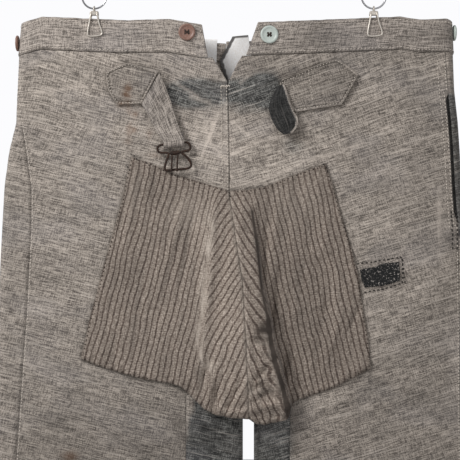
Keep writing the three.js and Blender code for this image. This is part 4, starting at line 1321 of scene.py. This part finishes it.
MID_LEFT = at_bar(-65.4, -169)
MID_RIGHT = at_bar(-52, -167.6)
frame_wire = wire("frame_wire", [
    BAR_LEFT, at_bar(-76, -163), at_bar(-74.5, -167.5), MID_LEFT, at_bar(-67.5, -177),
    at_bar(-69, -183.5), at_bar(-66.5, -185.6), at_bar(-57, -184.8), at_bar(-46, -183.6),
    at_bar(-42.6, -180), at_bar(-46, -173.5), MID_RIGHT, at_bar(-45.5, -166), at_bar(-43.4, -162),
    BAR_RIGHT, BAR_LEFT.lerp(BAR_RIGHT, 0.66), BAR_LEFT.lerp(BAR_RIGHT, 0.33)], 1.15, closed=True)
middle_wire = wire("middle_wire", [MID_LEFT, MID_RIGHT], 1.05)
buckle = joined("wire_buckle", [frame_wire, middle_wire])
buckle.data.materials.append(rust)
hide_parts("buckle_frame")
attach(buckle, "buckle")



def lathed(profile, sides, closed=False):
    """Mesh turned round an upright axis from a profile of radii and heights."""
    mesh = bmesh.new()
    points = [mesh.verts.new((r * MM, 0, h * MM)) for r, h in profile]
    pairs = zip(points, points[1:] + points[:1] if closed else points[1:])
    lines = [mesh.edges.new(pair) for pair in pairs]
    bmesh.ops.spin(mesh, geom=points + lines, cent=(0, 0, 0), axis=(0, 0, 1), angle=2 * pi,
                   steps=sides, use_merge=True)
    return mesh


sleeve_mesh = lathed([(1.35, -4.4), (2.15, -4.4), (2.15, 4.4), (1.35, 4.4)], 28, closed=True)
bmesh.ops.recalc_face_normals(sleeve_mesh, faces=sleeve_mesh.faces)
centre = MID_LEFT.lerp(MID_RIGHT, 0.5)
tilt = Matrix.Rotation(-atan2(bar_axis.z, bar_axis.x), 4, "Y")
sleeve_mesh.transform(Matrix.Translation(centre * MM) @ tilt @ Matrix.Rotation(pi / 2, 4, "Y"))
sleeve = formed("sleeve", sleeve_mesh)
prong_wires = []
for x in (-61.6, -56):
    z = mix(MID_LEFT.z, MID_RIGHT.z, (x - MID_LEFT.x) / (MID_RIGHT.x - MID_LEFT.x))
    prong_wires.append(wire("prong", [at_bar(x, z - 1.5, 1.5), at_bar(x, z - 5, 2.4),
                                      at_bar(x - 0.3, z - 10, 2.4), at_bar(x - 0.6, -187, 2.4)], 0.85))
prongs = joined("buckle_tongues", [sleeve, *prong_wires])
prongs.data.materials.clear()
prongs.data.materials.append(rust)
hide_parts("buckle_prongs")
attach(prongs, "prongs")

# The buttons have four holes and a rim. The left ones are copper-brown and the right ones, put
# on later, are pale grey-green. All are sewn on with dark thread.
def mottled(name, low, high, scale, values, detail=2.0):
    """Finish that varies finely between two tones."""
    made, tree, shader = material(name, values)
    position = node(tree, "ShaderNodeTexCoord").outputs["Object"]
    tone = blend_colours(tree, lumps(tree, position, detail, 0.6, scale), low, high)
    tree.links.new(tone, shader.inputs["Base Color"])
    return made


thread = mottled("Spun cotton thread, dark brown", "1f1916", "4a3d35", 3000, {"Roughness": 0.9})


def button_finish(name, low, high, rough):
    made, tree, shader = material(name, {"Roughness": rough, "IOR": 1.53})
    position = node(tree, "ShaderNodeTexCoord").outputs["Object"]
    cloudy = lumps(tree, position, 3.0, 0.6, 260)
    scuffs = steps(tree, lumps(tree, position, 3.0, 0.7, 1700), 0.56, 0.66)
    tone = blend_colours(tree, cloudy, low, high)
    tone = blend_colours(tree, scaled(tree, scuffs, 0.35), tone, "d8cfc6")
    tree.links.new(tone, shader.inputs["Base Color"])
    return made


copper_button = button_finish("Moulded button, copper brown", "6e5044", "957061", 0.45)
pale_button = button_finish("Moulded button, grey-green", "a5b1ab", "cbd2ca", 0.4)


def round_button(name, radius, finish, place, hole_spread=1.7, hole=1.1, dish=0.62):
    """Turned button with a raised rim, a dished middle and four sewn holes, facing -Y before
    it is put in place by a matrix."""
    inner = [(0.0, 1.55), (radius * 0.25, 1.56), (radius * 0.45, 1.6)]
    rim = [(radius * dish, 1.7), (radius * (dish + 0.07), 1.9), (radius * 0.78, 2.45),
           (radius * 0.88, 2.5), (radius * 0.96, 2.1), (radius, 1.3), (radius * 0.96, 0.5),
           (radius * 0.86, 0.0)]
    mesh = lathed([*inner, *rim, (0.0, 0.0)], 56)
    bmesh.ops.remove_doubles(mesh, verts=mesh.verts, dist=1e-6)
    bmesh.ops.recalc_face_normals(mesh, faces=mesh.faces)
    for face in mesh.faces:
        face.smooth = True
    parts = [formed(f"{name}_disc", mesh)]
    parts[0].data.materials.append(finish)
    for sx in (-1, 1):
        for sy in (-1, 1):
            dot = bmesh.new()
            middle = Matrix.Translation(Vector((sx * hole_spread, sy * hole_spread, 1.55)) * MM)
            bmesh.ops.create_cone(dot, cap_ends=True, segments=16, radius1=hole * MM,
                                  radius2=hole * MM * 0.9, depth=0.3 * MM, matrix=middle)
            parts.append(formed("eye", dot))
            parts[-1].data.materials.append(thread)
    h = hole_spread
    for a, b in (((-1, -1), (1, 1)), ((-1, 1), (1, -1)), ((-1, -0.8), (-1, 0.9)), ((1, -0.9), (1, 0.8))):
        run = [(a[0] * h, a[1] * h, 1.5), ((a[0] + b[0]) * h / 2, (a[1] + b[1]) * h / 2, 2.3),
               (b[0] * h, b[1] * h, 1.5)]
        parts.append(wire("stitch", run, 0.42, sides=8, between=5))
        parts[-1].data.materials.append(thread)
    made = joined(name, parts)
    made.data.transform(place)
    return made


def seated(centre, turn):
    return Matrix.Translation(Vector(centre) * MM) @ turn


face_out = Matrix.Rotation(pi / 2, 4, "X")
for name, side, radius, x, z, finish, spread_out, hole_size in (
        ("button_back_left", "left", 8.5, -47, -47.5, copper_button, 1.9, 0.8),
        ("button_back_right", "right", 9.0, 35.3, -50, pale_button, 1.35, 1.2)):
    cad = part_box(f"brace_button_{side}")
    made = round_button(name, radius, finish, seated((x, cad[1].y / MM, z), face_out),
                        spread_out, hole_size)
    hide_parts(f"brace_button_{side}")
    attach(made, "trousers")
for side, z, finish in (("left", -56.5, copper_button), ("right", -46, pale_button)):
    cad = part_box(f"side_button_{side}")
    x = (cad[1].x if side == "left" else cad[0].x) / MM
    turn = Matrix.Rotation(-INWARD[side] * pi / 2, 4, "Y")
    made = round_button(f"button_side_{side}", 8, finish, seated((x, RING_DEPTH, z), turn))
    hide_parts(f"side_button_{side}")
    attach(made, "trousers")
front_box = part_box("front_button")
made = round_button("button_front", 8.5, copper_button,
                    seated((10, front_box[0].y / MM, -72), Matrix.Rotation(-pi / 2, 4, "X")))
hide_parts("front_button")
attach(made, "trousers")

# The clips are sprung pairs of pale wire jaws with a small crimped plate, and each hangs from a
# plain steel ring by its eye. They grip the band, and stay as they are shown.
coated_wire = mottled("Drawn wire, cream-grey nickel coat", "bdb4a8", "e9e2d8", 900,
                      {"Metallic": 0.55, "Roughness": 0.38}, 3.0)
ring_steel = mottled("Drawn steel ring, polished", "a9a9ab", "cfcfd2", 900,
                     {"Metallic": 1.0, "Roughness": 0.25}, 3.0)
CLIP_REACH = 140
COIL = {"radius": 1.7, "level": -28.4}
EYE = {"radius": 3, "level": -24.2}
RING = {"radius": 12.1, "level": -11.2}
JAW = [(-2.5, -26.5, 0.3), (-3.2, -30, 1), (-4.6, -38, 1), (-6.3, -47.5, 1), (-4.6, -51.2, 1),
       (6.6, -50.2, 1), (7.8, -46.5, 1), (5, -38, 1), (3.2, -30, 1), (2.5, -26.5, 0.3)]
for side in INWARD:
    x = -INWARD[side] * CLIP_REACH
    low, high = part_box(f"clip_{side}")
    front, back = low.y / MM + 0.8, high.y / MM - 0.8
    middle = (front + back) / 2
    jaws = [wire("jaw", [(x + dx, mix(middle, face, spring), z) for dx, z, spring in JAW], 0.75,
                 closed=True, between=6) for face in (front, back)]
    coil_run = [(x - 3.6, middle + COIL["radius"] * sin(a), COIL["level"] + COIL["radius"] * cos(a))
                for a in (0, 2.1, 4.2)]
    coil = wire("coil", coil_run, 0.6, closed=True, sides=8, between=8)
    plate_mesh = bmesh.new()
    bmesh.ops.create_cube(plate_mesh, size=1)
    for vertex in plate_mesh.verts:
        top = vertex.co.z > 0
        vertex.co = Vector((x + vertex.co.x * (8.2 if top else 9.4), middle + vertex.co.y * 4.6,
                            -25.8 if top else -30.2)) * MM
    bmesh.ops.bevel(plate_mesh, geom=plate_mesh.edges, offset=0.9 * MM, affect="EDGES",
                    segments=3, profile=0.5, material=-1)
    plate = formed("plate", plate_mesh)
    eye = wire("eye", [(x, middle + EYE["radius"] * sin(a), EYE["level"] + EYE["radius"] * cos(a))
                       for a in (0, 1.57, 3.14, 4.71)], 0.75, closed=True, between=8)
    clip = joined(f"ring_clip_{side}", [*jaws, coil, plate, eye])
    clip.data.materials.append(coated_wire)
    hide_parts(f"clip_{side}")
    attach(clip, "trousers")
    turns = [k * pi / 6 for k in range(12)]
    ring = wire(f"hanging_ring_{side}",
                [(x + RING["radius"] * sin(a), middle, RING["level"] + RING["radius"] * cos(a))
                 for a in turns], 0.9, closed=True, between=6)
    ring.data.materials.append(ring_steel)
    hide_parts(f"ring_{side}")
    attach(ring, "trousers")

# Inside the notch the front opening shows. Its two edges are faced with cream cotton, and the
# right facing has a dark woven edge.
cream, cream_tree, cream_shader = material("Cream cotton facing, woven",
                                           {"Roughness": 0.93, "IOR": 1.47, "Sheen Weight": 0.5})
cream_weft = lumps(cream_tree, stretched(cream_tree, 300, 1700, 0, 0.2), 2.0, 0.6)
cream_warp = lumps(cream_tree, stretched(cream_tree, 1700, 300, 0, 0.6), 2.0, 0.6)
cream_yarn = added(cream_tree, scaled(cream_tree, cream_weft, 0.5), scaled(cream_tree, cream_warp, 0.5))
cream_tone = blend_colours(cream_tree, steps(cream_tree, cream_yarn, 0.36, 0.62), "ece6df", "ffffff")
cream_tone = blend_colours(cream_tree, scaled(cream_tree, attribute(cream_tree, "edge"), 0.9, True),
                           cream_tone, "2b2623")
cream_tree.links.new(cream_tone, cream_shader.inputs["Base Color"])
raised(cream_tree, cream_shader, cream_yarn, 0.4, 0.0004)
FACINGS = {
    "left": Patch(top=[(-40, -50), (-17, -51)], bottom=[(-38, -168), (-20, -168)],
                  left=[(-40, -50), (-38, -168)], right=[(-17, -51), (-18, -78), (-20, -168)]),
    "right": Patch(top=[(-1.5, -48), (14.5, -46.5)], bottom=[(-9, -168), (24, -168)],
                   left=[(-1.5, -48), (-14.5, -73), (-8, -95), (-9, -168)],
                   right=[(14.5, -46.5), (20, -80), (24, -168)]),
}
for side in INWARD:
    low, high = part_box(f"front_facing_{side}")
    depth = low.y / MM + 0.1 + (1.0 if side == "left" else 0.0)
    spread = four_sided(*FACINGS[side])

    def place(u, v):
        x, z = spread(u, v)
        return Vector((x, depth + 0.5 * noise.noise((x / 12, z / 12, 3)), z))

    def flat(u, v):
        x, z = spread(u, v)
        return x * MM, z * MM

    facing = woven(f"facing_{side}", shares(40), shares(80), place, flat)
    dark_edge = []
    for vertex in facing.data.vertices:
        x, z = vertex.co.x / MM, vertex.co.z / MM
        near = min(abs(x - spread(0, k / 60)[0]) + abs(z - spread(0, k / 60)[1]) for k in range(61))
        top = spread(clamp((x + 1.5) / 16), 0)[1] - z
        dark_edge.append(ease((4.4 - min(near, top + 1.8)) / 1.2) if side == "right" else 0.0)
    paint(facing, {"edge": dark_edge})
    facing.data.materials.append(cream)
    cut = cloth_area(facing)
    thicken(facing, 0.8)
    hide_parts(f"front_facing_{side}")
    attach(facing, "trousers")

# The pocket's facing is a strip of the same cloth behind the open slit beside the right side seam. It was
# kept from the light there, so it is still dark, and it is painted darker still to stand for the shadow
# in the slit.
def pocket_point(u, v):
    z = mix(-107, -243, v)
    seam = -seam_round["right"](z)
    return cloth_point("right", z, mix(seam - 13.5, seam + 9.5, u), -2.1)


facing = woven("pocket_facing", shares(24), shares(90), pocket_point,
               lambda u, v: (u * 0.024, -v * 0.137))
# Painted shadow in the open slit darkens the facing far below its own slate.
coat(facing, unfaded=1.4, grime=0.5, pale=0.0, rust=0.0, shade=0.3)
facing.data.materials.append(panel_cloth["right"])
cut = cloth_area(facing)
thicken(facing, 0.9)
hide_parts("pocket_facing_right")
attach(facing, "trousers")

# The fly placket is a plain doubled strip of chambray over the middle seam of the front. It grows
# narrower downwards.
PLACKET = Patch(top=[(-4, -88), (34, -86)], bottom=[(8, -274), (26, -270)],
                left=[(-4, -88), (-2, -180), (8, -274)], right=[(34, -86), (36, -250), (26, -270)])
placket_spread = four_sided(*PLACKET)


def placket_point(u, v):
    x, z = placket_spread(u, v)
    side = "right" if x > front_seam(z) else "left"
    y = skin("right", z, -round_to("right", z, x), 0)[1]
    return Vector((x, y + RING_DEPTH + 1.9, z + waist_shift(side, z, -round_to(side, z, x))))


placket = woven("placket", shares(24), shares(70), placket_point,
                lambda u, v: tuple(c * MM for c in placket_spread(u, v)))
coat(placket, unfaded=0.3, grime=0.0, pale=0.0, rust=0.0)
placket.data.materials.append(level_cloth)
cut = cloth_area(placket)
thicken(placket, 1.5)
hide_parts("fly_placket")
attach(placket, "trousers")

# All seams are sewn with stout thread: pale on the chambray, and dark brown or black where it was
# mended by hand. Each stitch is a little raised, and the rows wander.
pale_thread = mottled("Spun cotton thread, undyed, aged", "b5a899", "f0e8dd", 1200, {"Roughness": 0.9})
black_thread = mottled("Spun cotton thread, black", "161514", "38332f", 1200, {"Roughness": 0.9})


def stitch_row(mesh, line, length=2.2, gap=1.0, thick=0.55, wander=0.25):
    """Raised stitches, one after another along a line of close points in millimetres."""
    reach, start, seed = 0.0, None, line[0].x * 0.37
    for a, b in zip(line, line[1:]):
        reach += (b - a).length
        if start is None and reach >= gap:
            start, reach = b, 0.0
        elif start is not None and reach >= length:
            middle = (start + b) / 2
            seed += 1.7
            drift = Vector((noise.noise((seed, 1, 0)), 0, noise.noise((seed, 9, 0)))) * wander
            turn = (b - start).to_track_quat("X", "Z").to_matrix().to_4x4()
            reach_on = length * (0.55 + 0.1 * noise.noise((seed, 4, 2)))
            size = Matrix.Diagonal((reach_on, thick * 0.6, thick * 0.6, 1))
            placed = Matrix.Scale(MM, 4) @ Matrix.Translation(middle + drift) @ turn @ size
            bmesh.ops.create_icosphere(mesh, subdivisions=1, radius=1, matrix=placed)
            start, reach = None, 0.0


def sewn(name, rows, finish, slot, **sizes):
    """Piece of stitches along rows of close points."""
    mesh = bmesh.new()
    for row in rows:
        stitch_row(mesh, row, **sizes)
    for face in mesh.faces:
        face.smooth = True
    obj = formed(name, mesh)
    obj.data.materials.append(finish)
    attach(obj, "trousers")


def on_back(points, lift=0.15, bag=0.8, shift=0.0):
    """Close points on the back along a polyline of x and z, moved sideways by a shift."""
    at = outline([(x + shift, z) for x, z in points])
    length = sum((Vector(b) - Vector(a)).length for a, b in zip(points, points[1:]))
    count = max(2, round(length / 0.4))
    return [laid_point(*at(k / count), lift, bag) for k in range(count + 1)]


seat_rows = [[(seat_seam(z) - offset, z) for z in running(-98, -207, 3)] for offset in (1.6, 7.0)]
sewn("stitching_seat", [on_back(row, 0.3) for row in seat_rows], pale_thread, "chambray", thick=0.7)
for side in INWARD:
    rows = []
    for up in (0.07, 0.90):
        rows.append([band_point(side, a, up, 0.25) for a in [k / 1000 for k in range(4, 1000)]])
    rows.append([band_point(side, 0.007, mix(0.95, 0.05, k / 80), 0.25) for k in range(81)])
    sewn(f"stitching_band_{side}", rows, pale_thread, "chambray", thick=0.6)
for side in INWARD:
    top, bottom, left, right = CINCH[side]
    loop = top + right[1:] + bottom[::-1][1:] + left[::-1][1:]
    rows = [on_back(inset(loop, 1.9), 2.7)]
    if side == "right":
        rows.append(on_back([(74, -87), (79.5, -121)], 2.7))
    sewn(f"stitching_cinch_{side}", rows, pale_thread, "chambray", length=1.7, gap=1.1, thick=0.62)
side_rows = [
    [cloth_point("left", z, -seam_round["left"](z) - 1.2, 0.1) for z in running(-75, -1110, 0.5)],
    [cloth_point("right", z, -seam_round["right"](z) - (4.6 if -241 < z < -107 else 1.4), 0.1)
     for z in running(-75, -1110, 0.5)],
    [cloth_point("right", z, -seam_round["right"](z) - 9, 0.1) for z in running(-75, -246, 0.5)],
]
sewn("stitching_sides", side_rows, pale_thread, "chambray", thick=0.7)
for side in INWARD:
    edges = PATCHES[side]
    outer = edges.left if side == "left" else edges.right
    rows = [on_back(inset(edges.top, 1.2), 1.7, 1.0)]
    rows.append(on_back(inset(outer, -1.2 if side == "left" else 1.2), 1.7, 1.0))
    low = [point for point in edges.bottom if (point[0] < -50 if side == "left" else point[0] > 60)]
    rows.append(on_back(inset(low, -1.2), 1.7, 1.0))
    sewn(f"stitching_patch_{side}", rows, thread, "striped_cloth", length=1.5, gap=2.6, thick=1.0)
around = [(121, -279), (135, -277.5), (150, -275), (168.5, -272), (169, -298), (158, -302),
          (145, -305), (130, -307.5)]
sewn("stitching_mend", [on_back(around, 0.25), on_back([(168.5, -272), (171, -299)], 0.25)],
     black_thread, "black_cloth", length=2.6, gap=1.5, thick=1.25, wander=0.6)
darns = [[cloth_point("right", z, -seam_round["right"](z) - aside, 0.3)
          for z in running(-224, -266, 0.5)] for aside in (1.5, 6.5)]
sewn("darning_pocket", darns, black_thread, "black_cloth", length=3.0, gap=1.2, thick=1.3, wander=0.8)
sewn("bar_tack", [[laid_point(x, -98.6 + 0.5 * sin(x), 0.5, 0.8) for x in running(-14, -3.6, 0.3)],
                  [laid_point(x, -97.9 + 0.3 * cos(x), 0.6, 0.8) for x in running(-13, -4.6, 0.3)]],
     pale_thread, "chambray", length=1.8, gap=0.2, thick=1.1)
caught = [
    [(-105, -168), (-99, -171), (-95, -178)], [(-108, -180), (-103, -187)],
    [(-89, -176), (-84, -182)], [(88, -178), (92, -182), (95, -190)], [(-6, -205), (-3, -214)],
]
sewn("catch_stitches", [on_back(row, 1.8, 1.0) for row in caught], black_thread, "striped_cloth",
     length=2.4, gap=0.8, thick=1.0, wander=0.5)
